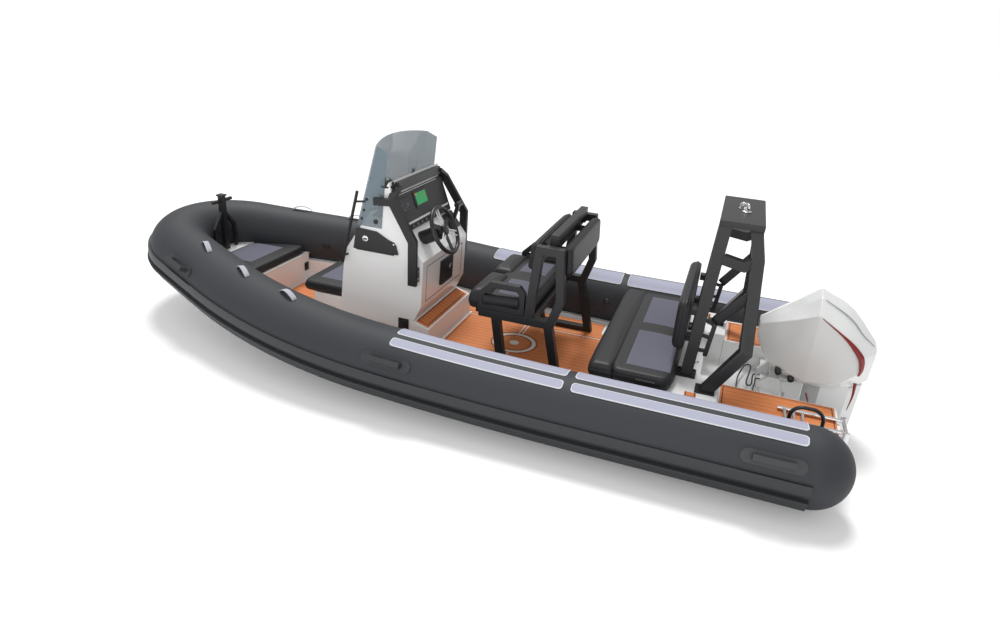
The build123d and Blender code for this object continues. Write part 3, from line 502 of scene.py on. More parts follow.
def roundProfile(radius, count):
    angle = np.arange(count) * 2 * np.pi / count
    return np.stack([radius * np.cos(angle), radius * np.sin(angle)], axis=-1)


def stripProfile(width, thickness):
    # a flat strip with rounded corners, as a superellipse
    power = 0.3
    angle = np.arange(24) * 2 * np.pi / 24
    c = np.cos(angle)
    s = np.sin(angle)
    return np.stack([np.sign(c) * np.abs(c) ** power * width / 2,
                     np.sign(s) * np.abs(s) ** power * thickness / 2], axis=-1)


def smoothPath(points, count):
    # a curve through the points, Catmull-Rom between them
    points = np.asarray(points, dtype=float)
    ends = np.concatenate([[2 * points[0] - points[1]], points, [2 * points[-1] - points[-2]]])
    spans = len(points) - 1
    t = np.linspace(0, spans, count)
    k = np.minimum(t.astype(int), spans - 1)
    f = (t - k)[:, None]
    a, b, c, d = ends[k], ends[k + 1], ends[k + 2], ends[k + 3]
    return 0.5 * (2 * b + (c - a) * f + (2 * a - 5 * b + 4 * c - d) * f ** 2
                  + (3 * b - a - 3 * c + d) * f ** 3)


def rectangle(xLow, xHigh, yLow, yHigh):
    return [(xLow, yLow), (xHigh, yLow), (xHigh, yHigh), (xLow, yHigh)]


def mirrored(points, side):
    # places given for the port side, or their mirror images when side is -1
    return np.array(points, dtype=float) * (1, side, 1)


# A pad's rings are shares of its outline, under its rim and over it; its sides swell by belly
padShape = {"around": 128, "power": 0.22, "belly": 0.006, "under": (0.0, 0.5, 0.9),
            "over": (0.95, 0.88, 0.78, 0.66, 0.5, 0.34, 0.18, 0.05), "least": 0.001}


def pad(name, corners, low, high, material, radius, crown, axes=None, **rest):
    # a stuffed pad over a four-cornered outline: rounded rim, crowned top; axes map its
    # (a, b, c) to (x, y, z)
    corners = np.asarray(corners, dtype=float)
    around = padShape["around"]
    turn = np.arange(around) * 2 * np.pi / around
    u = np.sign(np.cos(turn)) * np.abs(np.cos(turn)) ** padShape["power"]
    v = np.sign(np.sin(turn)) * np.abs(np.sin(turn)) ** padShape["power"]
    foot = radius * 0.5
    outline = [(share, low, foot) for share in padShape["under"]]
    for t in np.linspace(-np.pi / 2, 0, 6)[1:]:
        outline.append((1.0, low + foot * (1 + np.sin(t)), foot * (1 - np.cos(t))))
    for t in np.linspace(0.15, 0.85, 6):
        outline.append((1.0, low + foot + (high - low - 1.5 * radius) * t,
                        -padShape["belly"] * np.sin(np.pi * t)))
    for t in np.linspace(0, np.pi / 2, 8):
        outline.append((1.0, high - radius + radius * np.sin(t), radius * (1 - np.cos(t))))
    for share in padShape["over"]:
        outline.append((share, high + crown * (1 - share ** 2), radius))
    half = [np.linalg.norm(corners[1] - corners[0]) / 2, np.linalg.norm(corners[3] - corners[0]) / 2]
    rings = []
    for share, height, inset in outline:
        a, b = [(edge * (max(1 - inset / reach, 0) * max(share, padShape["least"])) + 1) / 2
                for edge, reach in zip((u, v), half)]
        level = (corners[0] * ((1 - a) * (1 - b))[:, None] + corners[1] * (a * (1 - b))[:, None]
                 + corners[2] * (a * b)[:, None] + corners[3] * ((1 - a) * b)[:, None])
        rings.append(np.column_stack([level, np.full(around, height)]))
    rings = np.asarray(rings)
    if axes is not None:
        origin, first, second, third = (np.asarray(axis, dtype=float) for axis in axes)
        rings = (origin + rings[..., 0, None] * first + rings[..., 1, None] * second
                 + rings[..., 2, None] * third)
    return loft(name, rings, material, **rest)


def boxPiece(name, low, high, material, bevel=0.003, **rest):
    outline = rectangle(low[0], high[0], low[1], high[1])
    rings = [[(x, y, z) for x, y in outline] for z in (low[2], high[2])]
    piece = loft(name, rings, material, **rest)
    soften(piece, bevel)


def circleAbout(axis, count):
    # a unit axis, and unit directions all round it
    axis = unit(np.asarray(axis, dtype=float))
    first = unit(np.cross(axis, (0, 0, 1.0) if abs(axis[2]) < 0.9 else (1.0, 0, 0)))
    turn = (np.arange(count) * 2 * np.pi / count)[:, None]
    return axis, np.cos(turn) * first + np.sin(turn) * np.cross(axis, first)


def disc(name, centre, axis, radius, thickness, material, **rest):
    # a round plate standing on its centre along axis, its rim rounded
    axis, outward = circleAbout(axis, 28)
    rings = [np.asarray(centre) + outward * radius * share + axis * thickness * rise
             for share, rise in ((1, 0), (1, 0.6), (0.94, 0.88), (0.84, 1))]
    loft(name, rings, material, **rest)


def ring(name, centre, axis, radius, wire, material, **rest):
    # a round wire bent into a ring about an axis
    count, sectionCount = 40, 12
    axis, outward = circleAbout(axis, count)
    roll = (np.arange(sectionCount) * 2 * np.pi / sectionCount)[None, :, None]
    points = (np.asarray(centre) + outward[:, None, :] * (radius + wire * np.cos(roll))
              + axis * wire * np.sin(roll)).reshape(-1, 3)
    faces = gridFaces(count, sectionCount, closedRows=True, closedColumns=True)
    if signedVolume(points, [faces]) < 0:
        faces = faces[:, ::-1]
    newPiece(name, points, [faces], material, **rest)


def facePlate(name, low, high, yRange, shareRange, lift, thickness, material, bevel, **rest):
    # a plate on a face that runs from low to high in XZ, between two shares of its height
    low = np.array([low[0], 0, low[1]])
    run = np.array([high[0], 0, high[1]]) - low
    normal = np.array([-run[2], 0, run[0]]) / np.hypot(run[0], run[2])
    rings = [[low + run * share + np.array([0, y, 0]) + normal * rise
              for y, share in rectangle(*yRange, *shareRange)] for rise in (lift, lift + thickness)]
    made = loft(name, rings, material, **rest)
    soften(made, bevel)
    return made


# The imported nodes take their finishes, and the hard ones get rounded edges
softNodes = ("tube_port", "tube_starboard", "tube_bow", "rub_strakes", "hull", "floor",
             "motor_hose", "tread_patches")
bevels = {"seat_frame": 0.004, "arch_port": 0.004, "arch_starboard": 0.004, "console": 0.008,
          "arch_top": 0.006, "arm_frames": 0.004, "guard_rails": 0.005, "bow_post": 0.003,
          "aft_deck": 0.01, "bench_base": 0.01, "bow_deck": 0.008, "forward_seat": 0.01,
          "motor_leg": 0.01, "swivel_bracket": 0.008, "deck_pads": 0.0015}
slotOf = {entry["node"]: entry["material_slot"] for entry in frame["record"]["subparts"]}
for name, node in nodes.items():
    node.data.materials.clear()
    node.data.materials.append(finishes[slotOf[name]])
    if not name.startswith(softNodes):
        soften(node, bevels.get(name, 0.002))
for side, word in sides:
    nodes[f"tube_handles_{word}"].data.materials[0] = extras["grip"]
print("nodes finished")


# Cushions
def stuffed(name, corners, low, high, material, radius, crown, node=None, **rest):
    made = pad(name, corners, low, high, material, radius, crown, slot="cushion", **rest)
    if node is not None:
        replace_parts(made, node)


def standing(name, xBack, thickness, half, zLow, zHigh, lean, radius, crown, node):
    # an upright pad: its face looks along +X, leaning aft by lean metres over its height
    height = zHigh - zLow
    axes = ((xBack, 0, zLow), (0, 1, 0), (-lean / height, 0, 1.0), (1, 0, 0))
    stuffed(name, rectangle(-half, half, 0, height), 0.0, thickness, finishes["cushion"], radius,
            crown, node, axes=axes)


benchPanels = [(0.63, 0.905, 0.075, 0.61), (0.63, 0.905, -0.61, -0.075)]
stuffed("benchPad", rectangle(0.602, 1.0, -0.708, 0.708), 0.37, 0.462,
        cushionMaterial("benchCushion", benchPanels), 0.028, 0.01, "bench_cushion")
stuffed("benchRoll", rectangle(0.955, 1.132, -0.71, 0.71), 0.371, 0.472, finishes["cushion"],
        0.042, 0.006)
stuffed("bowPad", [(3.934, -0.396), (4.37, -0.21), (4.37, 0.21), (3.934, 0.396)], 0.3745, 0.442,
        cushionMaterial("bowCushion", [(4.045, 4.345, -0.21, 0.21)]), 0.026, 0.01, "bow_cushion",
        body="bow_lid_body")
stuffed("forePad", rectangle(3.095, 3.5, -0.298, 0.298), 0.3505, 0.43,
        cushionMaterial("foreCushion", [(3.14, 3.4, -0.19, 0.19)]), 0.03, 0.01, "forward_cushion")
seatPanels = [(1.66, 1.86, 0.09, 0.37), (1.66, 1.86, -0.37, -0.09)]
stuffed("seatPad", rectangle(1.602, 1.96, -0.444, 0.444), 0.5705, 0.668,
        cushionMaterial("seatCushion", seatPanels), 0.03, 0.01, "seat_cushion")
for side, word in sides:
    stuffed(f"seatRoll.{word}", rectangle(1.88, 2.052, side * 0.02, side * 0.445), 0.548, 0.69,
            finishes["cushion"], 0.055, 0.006)
standing("benchBack", 0.586, 0.078, 0.449, 0.536, 0.879, 0.0, 0.034, 0.006, "bench_backrest")
standing("helmBack", 1.594, 0.062, 0.432, 0.885, 1.082, 0.02, 0.028, 0.004, "helm_backrest")
standing("aftBack", 1.348, 0.068, 0.432, 0.89, 1.085, -0.012, 0.03, 0.004, "aft_backrest")

# The hoop between the backrests stands a little above them, on two stubs, with a bracket to
# each pad near its ends
hoop = {"x": (1.462, 1.516), "top": (1.098, 1.15), "half": 0.415, "stub": 0.056,
        "stubRise": (1.04, 1.1), "bracketX": (1.404, 1.602), "bracketPlace": 0.28,
        "bracketHalf": 0.018, "bracketRise": (1.0, 1.038)}


def hoopPiece(name, xRange, yRange, zRange, bevel=0.003):
    boxPiece(name, *zip(xRange, yRange, zRange), bevel=bevel, **blackMetal)


hoopPiece("hoopBar", hoop["x"], (-hoop["half"], hoop["half"]), hoop["top"], 0.004)
for side, word in sides:
    ends = sorted((side * hoop["half"], side * (hoop["half"] - hoop["stub"])))
    hoopPiece(f"hoopStub.{word}", hoop["x"], ends, hoop["stubRise"])
    middle = side * hoop["bracketPlace"]
    hoopPiece(f"padBracket.{word}", hoop["bracketX"],
              (middle - hoop["bracketHalf"], middle + hoop["bracketHalf"]), hoop["bracketRise"])
arm = {"aft": (1.668, 0.477, 0.668), "fore": (1.922, 0.477, 0.652), "radius": 0.04}
armRolls = []
for side, word in sides:
    ends = mirrored([arm["aft"], arm["fore"]], side)
    armRoll = alongPath(f"armRoll.{word}", np.linspace(*ends, 16), roundProfile(arm["radius"], 20),
                        finishes["cushion"], slot="cushion")
    armRolls.append(armRoll)
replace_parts(armRolls[0], "arm_pads")
print("cushions ready")

# Motor: a faceted cowl, columns from nose to tail; each station gives x and then (y, z) from
# the ridge down the port side to the bottom
cowl = {"stations": [
    (0.15, [(0, 0.694), (0.045, 0.69), (0.07, 0.68), (0.085, 0.63), (0.06, 0.585), (0, 0.585)]),
    (0.07, [(0, 0.764), (0.075, 0.742), (0.108, 0.72), (0.13, 0.472), (0.11, 0.446), (0, 0.446)]),
    (-0.05, [(0, 0.862), (0.088, 0.836), (0.152, 0.778), (0.215, 0.445), (0.17, 0.405), (0, 0.405)]),
    (-0.17, [(0, 0.962), (0.1, 0.936), (0.2, 0.847), (0.25, 0.418), (0.19, 0.372), (0, 0.372)]),
    (-0.31, [(0, 0.908), (0.106, 0.862), (0.22, 0.765), (0.25, 0.43), (0.185, 0.372), (0, 0.372)]),
    (-0.38, [(0, 0.862), (0.106, 0.812), (0.222, 0.71), (0.246, 0.455), (0.17, 0.38), (0, 0.38)]),
    (-0.45, [(0, 0.792), (0.104, 0.738), (0.214, 0.632), (0.225, 0.517), (0.15, 0.395), (0, 0.395)]),
    (-0.552, [(0, 0.672), (0.08, 0.66), (0.1, 0.64), (0.105, 0.6), (0.08, 0.43), (0, 0.43)]),
], "panelSpans": 6, "bevel": (0.008, 3, 0.2)}


def makeCowl():
    rings = []
    for x, half in cowl["stations"]:
        port = [(x, y, z) for y, z in half]
        starboard = [(x, -y, z) for y, z in half[-2:0:-1]]
        rings.append(port + starboard)
    around = len(rings[0])
    # the sides of all spans but the last are grey panels
    materials = np.zeros((len(rings) + 1, around), dtype=int)
    materials[:cowl["panelSpans"], [2, around - 3]] = 1
    piece = loft("cowl", rings, [finishes["motor_white"], extras["panelGrey"]], body="motor",
                 slot="motor_white", faceMaterials=materials.ravel())
    roundEdges(piece, *cowl["bevel"])
    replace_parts(piece, "motor_cowl")


makeCowl()


def ribbon(name, points, widths, normals, material, thickness):
    # a thin strip laid on a surface, its width changing along its length
    count = 60
    path = smoothPath(points, count)
    widths = np.interp(np.linspace(0, 1, count), np.linspace(0, 1, len(widths)), widths)
    normals = unit(smoothPath(normals, count))
    side = unit(np.cross(unit(np.gradient(path, axis=0)), normals))
    rings = [path + side * widths[:, None] * a + normals * thickness * b
             for a, b in ((0.5, 0), (0.5, 1), (-0.5, 1), (-0.5, 0))]
    loft(name, np.stack(rings, axis=1), material, body="motor", slot="motor_white")


# Red stripes, grey strips of painted groove shade on the cowl, and two black plugs low on each side
cowlMarks = [
    ("cowlStripe", [(-0.186, 0.205, 0.838), (-0.31, 0.224, 0.762), (-0.385, 0.227, 0.704),
                    (-0.45, 0.22, 0.63), (-0.468, 0.22, 0.56), (-0.462, 0.219, 0.512)],
     [0.003, 0.012, 0.028, 0.04, 0.028, 0.012], [(-0.3, 1.0, 0.6)] * 3 + [(-0.6, 1.0, 0.3)] * 3,
     "red", 0.004),
    # painted shade: a grey strip where the cowl's groove lies
    ("cowlGroove", [(-0.19, 0.103, 0.926), (-0.31, 0.107, 0.863), (-0.38, 0.107, 0.813),
                    (-0.45, 0.104, 0.739), (-0.53, 0.087, 0.674)],
     [0.003, 0.008, 0.01, 0.009, 0.004], [(-0.5, 0.5, 0.8)] * 5, "cowlGrooveShade", 0.003),
]
plugs = {"places": [(-0.013, 0.432), (-0.097, 0.398)], "reach": (0.16, 0.2, 0.222), "radius": 0.021}
for side, word in sides:
    for name, line, widths, normals, shade, thickness in cowlMarks:
        ribbon(f"{name}.{word}", mirrored(line, side), widths, mirrored(normals, side),
               extras[shade], thickness)
    for index, (x, z) in enumerate(plugs["places"]):
        alongPath(f"cowlPlug.{word}.{index}", [(x, side * y, z) for y in plugs["reach"]],
                  roundProfile(plugs["radius"], 24), body="motor", **blackPlastic)
# The red stripe goes on down the leg's side to a point, with a short mark ahead of it; the
# leg's half width grows from foot to top
legMarks = {"stripe": ([(-0.475, 0.43), (-0.484, 0.33), (-0.478, 0.215)], [0.02, 0.012, 0.003]),
            "mark": ([(-0.218, 0.285), (-0.234, 0.245), (-0.246, 0.215)], [0.01, 0.012, 0.006])}
leg = {"foot": 0.095, "flare": 0.055, "top": 0.44, "lift": 0.0005}
for side, word in sides:
    for kind, (line, widths) in legMarks.items():
        line = [(x, side * (leg["foot"] + leg["flare"] * max(z, 0) / leg["top"] + leg["lift"]), z)
                for x, z in line]
        ribbon(f"leg.{kind}.{word}", line, widths, [(0, side, 0.1)] * 3, extras["red"], 0.003)
print("motor ready")

# Dash: a wide panel with two screens, two pale strips and a row of switches. Positions on
# it are (y, share of its height); its face leans forward
dash = {"low": (2.565, 0.97), "high": (2.664, 1.23), "cornerMark": (0.092, 1.183),
        "left": [(0.205, 0.398), (0.48, 0.84)], "right": [(-0.06, 0.132), (0.49, 0.87)],
        "face": 0.0135, "glass": 0.0205, "switchTop": 0.0215, "switches": 10,
        "switchStart": 0.345, "switchPitch": 0.07}


def dashPlate(name, yRange, shareRange, lift, thickness, material, slot, bevel):
    return facePlate(name, dash["low"], dash["high"], yRange, shareRange, lift, thickness, material,
                     bevel, slot=slot)


panel = dashPlate("dashPlate", (-0.385, 0.385), (0.02, 0.99), 0.0005, 0.013, finishes["dash"],
                  "dash", 0.004)
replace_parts(panel, "dash_panel")


def mapPattern(origin, x, y, z):
    # a chart display: land in green, shallows in yellow, an orange corner
    shape = noise(origin, 14.0, 2.0)
    land = shape.above(0.47)
    shallow = (shape - 0.42).size().below(0.05)
    sea = mixColours(shallow, colour(0.02, 0.36, 0.22), colour(0.1, 0.42, 0.1))
    shown = mixColours(land, sea, colour(0.02, 0.5, 0.16))
    yMark, zMark = dash["cornerMark"]
    corner = (z - zMark).above(0.0) * (y - yMark).above(0.0)
    return {"Base Color": mixColours(corner, shown, colour(0.75, 0.35, 0.02))}


def gaugePattern(origin, x, y, z):
    # a dark instrument display with a few lit marks
    marks = noise(origin, 60.0, 2.0).above(0.66)
    return {"Base Color": mixColours(marks, colour(0.012, 0.01, 0.02), colour(0.22, 0.18, 0.24))}


chart = newMaterial("chartDisplay", {"Roughness": 0.35}, mapPattern)
gauge = newMaterial("gaugeDisplay", {"Roughness": 0.2}, gaugePattern)
bezels = []
for word, finish in (("left", gauge), ("right", chart)):
    (yLow, yHigh), (low, high) = dash[word]
    bezels.append(dashPlate(f"bezel.{word}", (yLow - 0.008, yHigh + 0.008), (low - 0.03, high + 0.03),
                            dash["face"], 0.007, finishes["black_plastic"], "screen", 0.003))
    dashPlate(f"display.{word}", (yLow + 0.014, yHigh - 0.014), (low + 0.035, high - 0.035),
              dash["glass"], 0.001, finish, "screen", 0.0003)
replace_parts(bezels[0], "screens")
dashPlate("dashTrim", (-0.28, 0.355), (0.955, 0.972), dash["face"], 0.003, extras["silver"],
          "chrome", 0.001)
dashPlate("dashStrip", (-0.355, 0.375), (0.175, 0.225), dash["face"], 0.004, extras["silver"],
          "gelcoat", 0.001)
for index in range(dash["switches"]):
    y = dash["switchStart"] - index * dash["switchPitch"]
    dashPlate(f"switch.{index}", (y - 0.014, y + 0.014), (0.075, 0.135), dash["face"], 0.008,
              finishes["black_plastic"], "black_plastic", 0.004)
    dashPlate(f"switchMark.{index}", (y - 0.004, y + 0.004), (0.095, 0.11), dash["switchTop"], 0.001,
              extras["silver"], "chrome", 0.0003)
print("dash ready")

# Places on the collar: x along the boat and the angle outward from a tube's top
collar = {"radius": 0.23, "height": 0.25, "spacing": 0.95, "sheerStart": 1.123, "sheerRise": 0.289,
          "bendStart": 2.452, "bendRadius": 3.954, "run": 0.568}
bendAngle = np.radians(21.77)
shoulderX = collar["bendStart"] + collar["bendRadius"] * np.sin(bendAngle)
shoulderY = collar["spacing"] - collar["bendRadius"] * (1 - np.cos(bendAngle))
cheekX = shoulderX + collar["run"] * np.cos(bendAngle)
cheekY = shoulderY - collar["run"] * np.sin(bendAngle)
bowRadius = cheekY / np.cos(bendAngle)
bowX = cheekX - bowRadius * np.sin(bendAngle) + bowRadius


def collarLine(x):
    # the port tube's centreline: straight, an arc, a straight run, then the bow's arc
    x = np.asarray(x, dtype=float)
    bend = collar["bendRadius"]
    arc = collar["spacing"] - bend + np.sqrt(np.maximum(bend ** 2 - (x - collar["bendStart"]) ** 2, 0))
    run = shoulderY - (x - shoulderX) * np.tan(bendAngle)
    front = np.sqrt(np.maximum(bowRadius ** 2 - (x - bowX + bowRadius) ** 2, 0))
    y = np.select([x <= collar["bendStart"], x <= shoulderX, x <= cheekX],
                  [np.full_like(x, collar["spacing"]), arc, run], front)
    rise = np.maximum(x - collar["sheerStart"], 0) / (bowX - collar["sheerStart"])
    return np.stack([x, y, collar["height"] + collar["sheerRise"] * rise ** 2], axis=-1)


def collarSkin(x, angle, lift, side):
    # points on the tube and the directions out of it, angle in degrees
    x, angle, lift = np.broadcast_arrays(np.asarray(x, dtype=float), angle, lift)
    middle = collarLine(x)
    nudge = 0.0005
    ahead = unit(collarLine(x + nudge) - collarLine(x - nudge))
    outboard = unit(np.cross((0.0, 0.0, 1.0), ahead))
    upward = np.cross(ahead, outboard)
    turn = np.radians(angle)[..., None]
    normal = outboard * np.sin(turn) + upward * np.cos(turn)
    points = middle + normal * (collar["radius"] + lift)[..., None]
    return mirrored(points, side), mirrored(normal, side)


# Tread patches: rounded corners and a pale bound edge
treads = {"rows": [(-36, 6), (16, 33)], "runs": [(-0.15, 1.147), (1.197, 2.335)],
          "thickness": 0.005, "corner": 0.022, "edge": 0.006, "foot": 0.0005, "rim": 0.0015,
          "sunk": 0.0008, "step": 0.012, "endCount": 8}


def patchOutline(length, width):
    # a rectangle with rounded corners about its centre, its sides closely divided
    corner = treads["corner"]
    longRun = length / 2 - corner
    wideRun = width / 2 - corner
    longCount = max(int(2 * longRun / treads["step"]), 2)
    points = []
    for cx, cy, start, gap in ((longRun, wideRun, 0, (-1, 0)), (-longRun, wideRun, 90, (0, -1)),
                               (-longRun, -wideRun, 180, (1, 0)), (longRun, -wideRun, 270, (0, 1))):
        turn = np.radians(start + np.linspace(0, 90, 9))
        points.append(np.stack([cx + corner * np.cos(turn), cy + corner * np.sin(turn)], axis=-1))
        span, count = (longRun, longCount) if gap[0] else (wideRun, treads["endCount"])
        along = np.linspace(0, 2 * span, count + 2)[1:-1, None]
        points.append(points[-1][-1] + along * np.array(gap))
    return np.concatenate(points)


def makeTread(name, side, angles, ends):
    width = np.radians(angles[1] - angles[0]) * collar["radius"]
    length = ends[1] - ends[0]
    outline = patchOutline(length, width)
    foot, top, rim, edge = (treads[key] for key in ("foot", "thickness", "rim", "edge"))
    floor = top - treads["sunk"]
    rings = []
    for inset, lift in ((width / 2, foot), (width / 4, foot), (0, foot), (0, top - rim), (rim, top),
                        (edge, top), (edge + 0.001, floor), (width / 4, floor),
                        (width * 0.38, floor), (width / 2, floor)):
        flat = outline * np.array([1 - 2 * inset / length, 1 - 2 * inset / width])
        x = (ends[0] + ends[1]) / 2 + flat[:, 0]
        angle = (angles[0] + angles[1]) / 2 + np.degrees(flat[:, 1] / collar["radius"])
        rings.append(collarSkin(x, angle, lift, side)[0])
    kinds = np.repeat([0, 0, 1, 1, 1, 0, 0, 0, 0], len(outline))
    return loft(name, rings, [finishes["tread"], extras["edge"]], slot="tread",
                faceMaterials=kinds, capped=False)


for side, word in sides:
    made = [makeTread(f"tread.{word}.{row}.{run}", side, angles, ends)
            for row, angles in enumerate(treads["rows"]) for run, ends in enumerate(treads["runs"])]
    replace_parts(made[0], f"tread_patches_{word}")
print("treads ready")

# Webbing loops standing on the bow tubes: each an arch between two places on the skin
loops = {"places": [((4.207, -2), (4.053, 8)), ((3.745, -2), (3.591, 8)), ((3.282, 0), (3.128, 8))],
         "strip": (0.036, 0.004), "rise": 0.034, "foot": 0.002}
for side, word in sides:
    for index, (first, last) in enumerate(loops["places"]):
        t = np.linspace(0, 1, 25)
        x = first[0] + (last[0] - first[0]) * t
        angle = first[1] + (last[1] - first[1]) * t
        lift = loops["foot"] + loops["rise"] * np.sin(np.pi * t) ** 0.6
        points, normals = collarSkin(x, angle, lift, side)
        alongPath(f"loop.{word}.{index}", points, stripProfile(*loops["strip"]), extras["webbing"],
                  upright=normals, slot="tread")

# Air valves on the inboard side of the tubes
for side, word in sides:
    for index, (x, angle) in enumerate(((3.868, -86), (1.279, -78))):
        place, normal = collarSkin(x, angle, 0.0, side)
        disc(f"valve.{word}.{index}", place, normal, 0.03, 0.008, finishes["black_plastic"],
             slot="strake")
        ring(f"valveRing.{word}.{index}", place + normal * 0.008, normal, 0.02, 0.003,
             finishes["black_plastic"], slot="strake")
print("collar fittings ready")

# Bow locker's latch, a black plate with a raised grip
boxPiece("bowLatch", (3.9225, -0.394, 0.214), (3.9297, -0.338, 0.286), **blackPlastic)
boxPiece("bowLatchGrip", (3.914, -0.38, 0.236), (3.9225, -0.352, 0.268), **blackPlastic)

# Compass: a flared foot and a dome, columns radius and height above its foot
compass = {"place": np.array([2.712, 0.345, 1.215]), "lean": np.array([0.1, 0, 1.0]),
           "profile": [(0.034, 0.0), (0.036, 0.055), (0.06, 0.068), (0.06, 0.076), (0.047, 0.082),
                       (0.044, 0.096), (0.036, 0.11), (0.022, 0.121), (0.006, 0.125)]}
turn = np.arange(32) * 2 * np.pi / 32
compassRings = [compass["place"] + compass["lean"] * height
                + np.stack([radius * np.cos(turn), radius * np.sin(turn), 0 * turn], axis=-1)
                for radius, height in compass["profile"]]
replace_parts(loft("compassDome", compassRings, **blackPlastic), "compass")

# Console: screws through the windscreen's wings, latches, a socket and the guard's bolts
screws = [(2.855, 1.183, 0.011), (2.878, 1.104, 0.009), (2.897, 1.04, 0.009), (2.787, 1.032, 0.017)]
for side, word in sides:
    for index, (x, z, size) in enumerate(screws):
        disc(f"screw.{word}.{index}", (x, side * 0.4005, z), (0, side, 0), size, 0.008, **blackPlastic)
disc("sideLatch", (2.867, 0.409, 0.898), (0, 1, 0), 0.024, 0.005, body="side_hatch_body", **chrome)
boxPiece("sideLatchGrip", (2.85, 0.4135, 0.892), (2.882, 0.4165, 0.904), bevel=0.001,
         body="side_hatch_body", **blackPlastic)
disc("sideRivet", (2.643, 0.409, 0.889), (0, 1, 0), 0.007, 0.003, body="side_hatch_body", **chrome)
boxPiece("socket", (2.526, 0.3945, 0.242), (2.61, 0.402, 0.334), **blackPlastic)
ring("socketRing", (2.568, 0.403, 0.288), (0, 1, 0), 0.027, 0.004, **blackPlastic)
disc("socketCap", (2.568, 0.4015, 0.288), (0, 1, 0), 0.024, 0.004, **blackPlastic)
for side, word in sides:
    for index, z in enumerate((0.674, 0.726)):
        disc(f"guardBolt.{word}.{index}", (2.4455, side * 0.421, z), (-1, 0, 0), 0.006, 0.004, **chrome)

# The aft door's outline on the console: painted shade in its gap, drawn by thin dark strips
door = {"low": (2.43, 0.45), "high": (2.42, 0.79), "half": 0.325, "line": 0.007,
        "foot": (0.045, 0.065), "top": (0.835, 0.855), "lift": 0.0003, "thickness": 0.0012}
whole = (door["foot"][0], door["top"][1])
for name, yRange, shareRange in (
        ("doorTop", (-door["half"], door["half"]), door["top"]),
        ("doorFoot", (-door["half"], door["half"]), door["foot"]),
        ("doorPort", (door["half"] - door["line"], door["half"]), whole),
        ("doorStarboard", (-door["half"], door["line"] - door["half"]), whole)):
    facePlate(name, door["low"], door["high"], yRange, shareRange, door["lift"], door["thickness"],
              extras["groove"], 0.0003, slot="gelcoat")
disc("hatchLatch", (2.4105, -0.074, 0.623), (-1, 0, -0.03), 0.019, 0.005, body="aft_hatch_body",
     **chrome)
boxPiece("hatchLatchGrip", (2.4035, -0.081, 0.606), (2.406, -0.067, 0.64), bevel=0.001,
         body="aft_hatch_body", **blackPlastic)
print("console fittings ready")

# Steering wheel: pairs of thin spokes from hub to rim, each end's place being outward, across
# and along the axle; and a centre cap
wheel = {"foot": np.array([2.513, 0.204, 0.905]), "tilt": np.radians(27), "reach": 0.191,
         "spokes": (95, -25, 215), "hub": (0.034, 0.011, 0.002), "rim": (0.153, 0.017, 0.006)}
wheelAxis = np.array([-np.cos(wheel["tilt"]), 0, np.sin(wheel["tilt"])])
wheelUp = np.array([np.sin(wheel["tilt"]), 0, np.cos(wheel["tilt"])])
wheelCentre = wheel["foot"] + wheelAxis * wheel["reach"]
for index, angle in enumerate(wheel["spokes"]):
    turn = np.radians(angle)
    outward = np.array([0, -1.0, 0]) * np.cos(turn) + wheelUp * np.sin(turn)
    across = np.cross(wheelAxis, outward)
    for pair, word in ((1, "a"), (-1, "b")):
        ends = [wheelCentre + outward * reach + across * pair * apart + wheelAxis * rise
                for reach, apart, rise in (wheel["hub"], wheel["rim"])]
        alongPath(f"spoke.{index}.{word}", np.linspace(*ends, 8), stripProfile(0.01, 0.006),
                  extras["silver"], upright=wheelAxis, body="steering_wheel_body", slot="chrome")
disc("wheelCap", wheelCentre + wheelAxis * 0.003, wheelAxis, 0.036, 0.01,
     body="steering_wheel_body", **blackPlastic)
print("wheel ready")

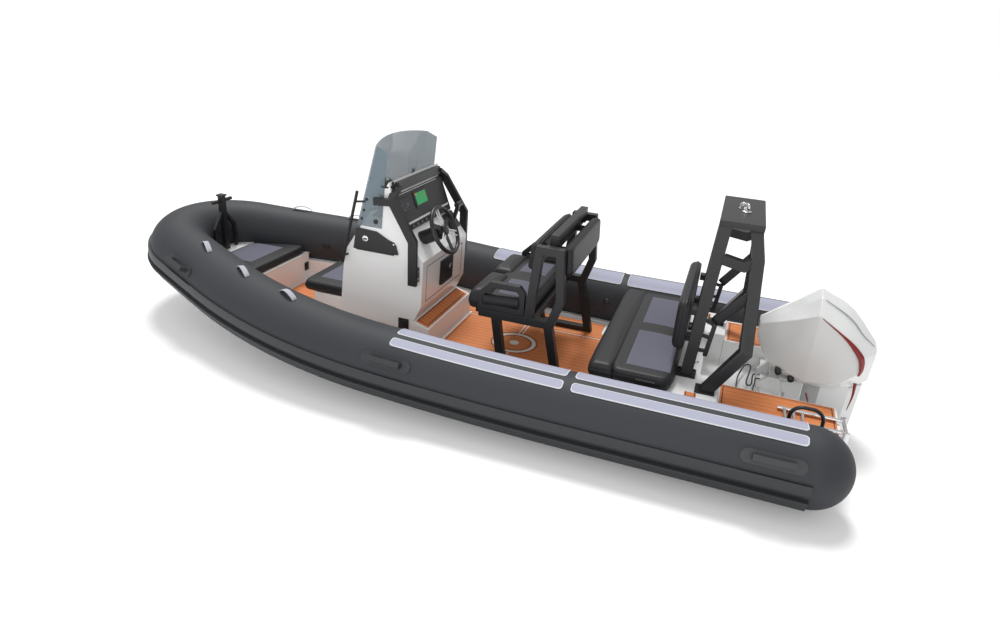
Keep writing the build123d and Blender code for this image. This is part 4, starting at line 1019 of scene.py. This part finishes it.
# Arch: a rack of rungs behind each front leg with its brace, rings on the top plate
rack = {"top": (0.425, 0.372, 0.745), "low": (0.449, 0.384, 0.52), "bar": 0.028,
        "leg": [(0.515, 0.352, 0.76), (0.523, 0.361, 0.65), (0.53, 0.371, 0.545)],
        "shares": (0.06, 0.45, 0.86), "rung": (0.024, 0.02), "brace": (0.252, 0.41, 0.985),
        "braceSize": (0.058, 0.03), "footTop": 0.38,
        "bolts": [(0.495, 0.338), (0.585, 0.338), (0.495, 0.432), (0.585, 0.432)]}
for side, word in sides:
    top, low, brace = mirrored([rack["top"], rack["low"], rack["brace"]], side)
    alongPath(f"rackBar.{word}", np.linspace(top, low, 12), stripProfile(rack["bar"], rack["bar"]),
              upright=(0, side, 0), **blackMetal)
    for index, start in enumerate(mirrored(rack["leg"], side)):
        finish = top + (low - top) * rack["shares"][index]
        alongPath(f"rung.{word}.{index}", np.linspace(start, finish, 6), stripProfile(*rack["rung"]),
                  **blackMetal)
    alongPath(f"rackBrace.{word}", np.linspace(brace, top + (0.006, 0, 0.01), 12),
              stripProfile(*rack["braceSize"]), upright=(0, side, 0), **blackMetal)
    for index, (x, y) in enumerate(rack["bolts"]):
        disc(f"footBolt.{word}.{index}", (x, side * y, rack["footTop"]), (0, 0, 1), 0.009, 0.006,
             **blackMetal)
for name, shape, place, axis, radius, thickness in (
        ("towBase", disc, (0.375, 0.06, 1.388), (0, 0, 1), 0.03, 0.008),
        ("towRing", ring, (0.375, 0.06, 1.416), (0.9, 0.4, 0), 0.022, 0.006),
        ("liftBase", disc, (0.401, -0.02, 1.388), (0, 0, 1), 0.026, 0.007),
        ("liftRing", ring, (0.401, -0.02, 1.408), (0.3, 0.9, 0), 0.017, 0.005),
        ("archRing", ring, (0.487, 0.384, 0.461), (0.3, 0, 1), 0.011, 0.003)):
    shape(name, place, axis, radius, thickness, **chrome)
print("arch fittings ready")

# Hoses in the motor's well, along the routes of their nodes, in metres
hoses = {"diameter": 0.01, "lengthAndRoute": {
    "motor_hose_1": (1.234, [(0.2, 0.3497, 0.196), (0.212, -0.02, 0.188), (0.172, -0.23, 0.195),
                             (0.148, -0.3, 0.2), (0.108, -0.29, 0.2), (0.124, -0.17, 0.192),
                             (0.146, 0.008, 0.188), (0.104, 0.008, 0.188), (0.1, -0.15, 0.189),
                             (0.088, -0.19, 0.19), (0.0603, -0.19, 0.19)]),
    "motor_hose_2": (0.44, [(0.104, 0.3497, 0.2), (0.1, 0.15, 0.205), (0.097, 0.06, 0.212),
                            (0.086, 0, 0.215), (0.086, -0.068, 0.218), (0.0603, -0.068, 0.218)])}}
for node, (length, points) in hoses["lengthAndRoute"].items():
    data = bpy.data.curves.new(node + "Line", "CURVE")
    data.dimensions = "3D"
    data.bevel_depth = hoses["diameter"] / 2
    data.bevel_resolution = 4
    data.use_fill_caps = True
    spline = data.splines.new("NURBS")
    spline.points.add(len(points) - 1)
    spline.points.foreach_set("co", np.column_stack([points, np.ones(len(points))]).ravel())
    spline.order_u = 3
    spline.use_endpoint_u = True
    spline.resolution_u = 16
    data.materials.append(finishes["cable"])
    hose = newObject(node + "Hose", data)
    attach(hose, "boat")
    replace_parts(hose, node)
print("hoses ready")
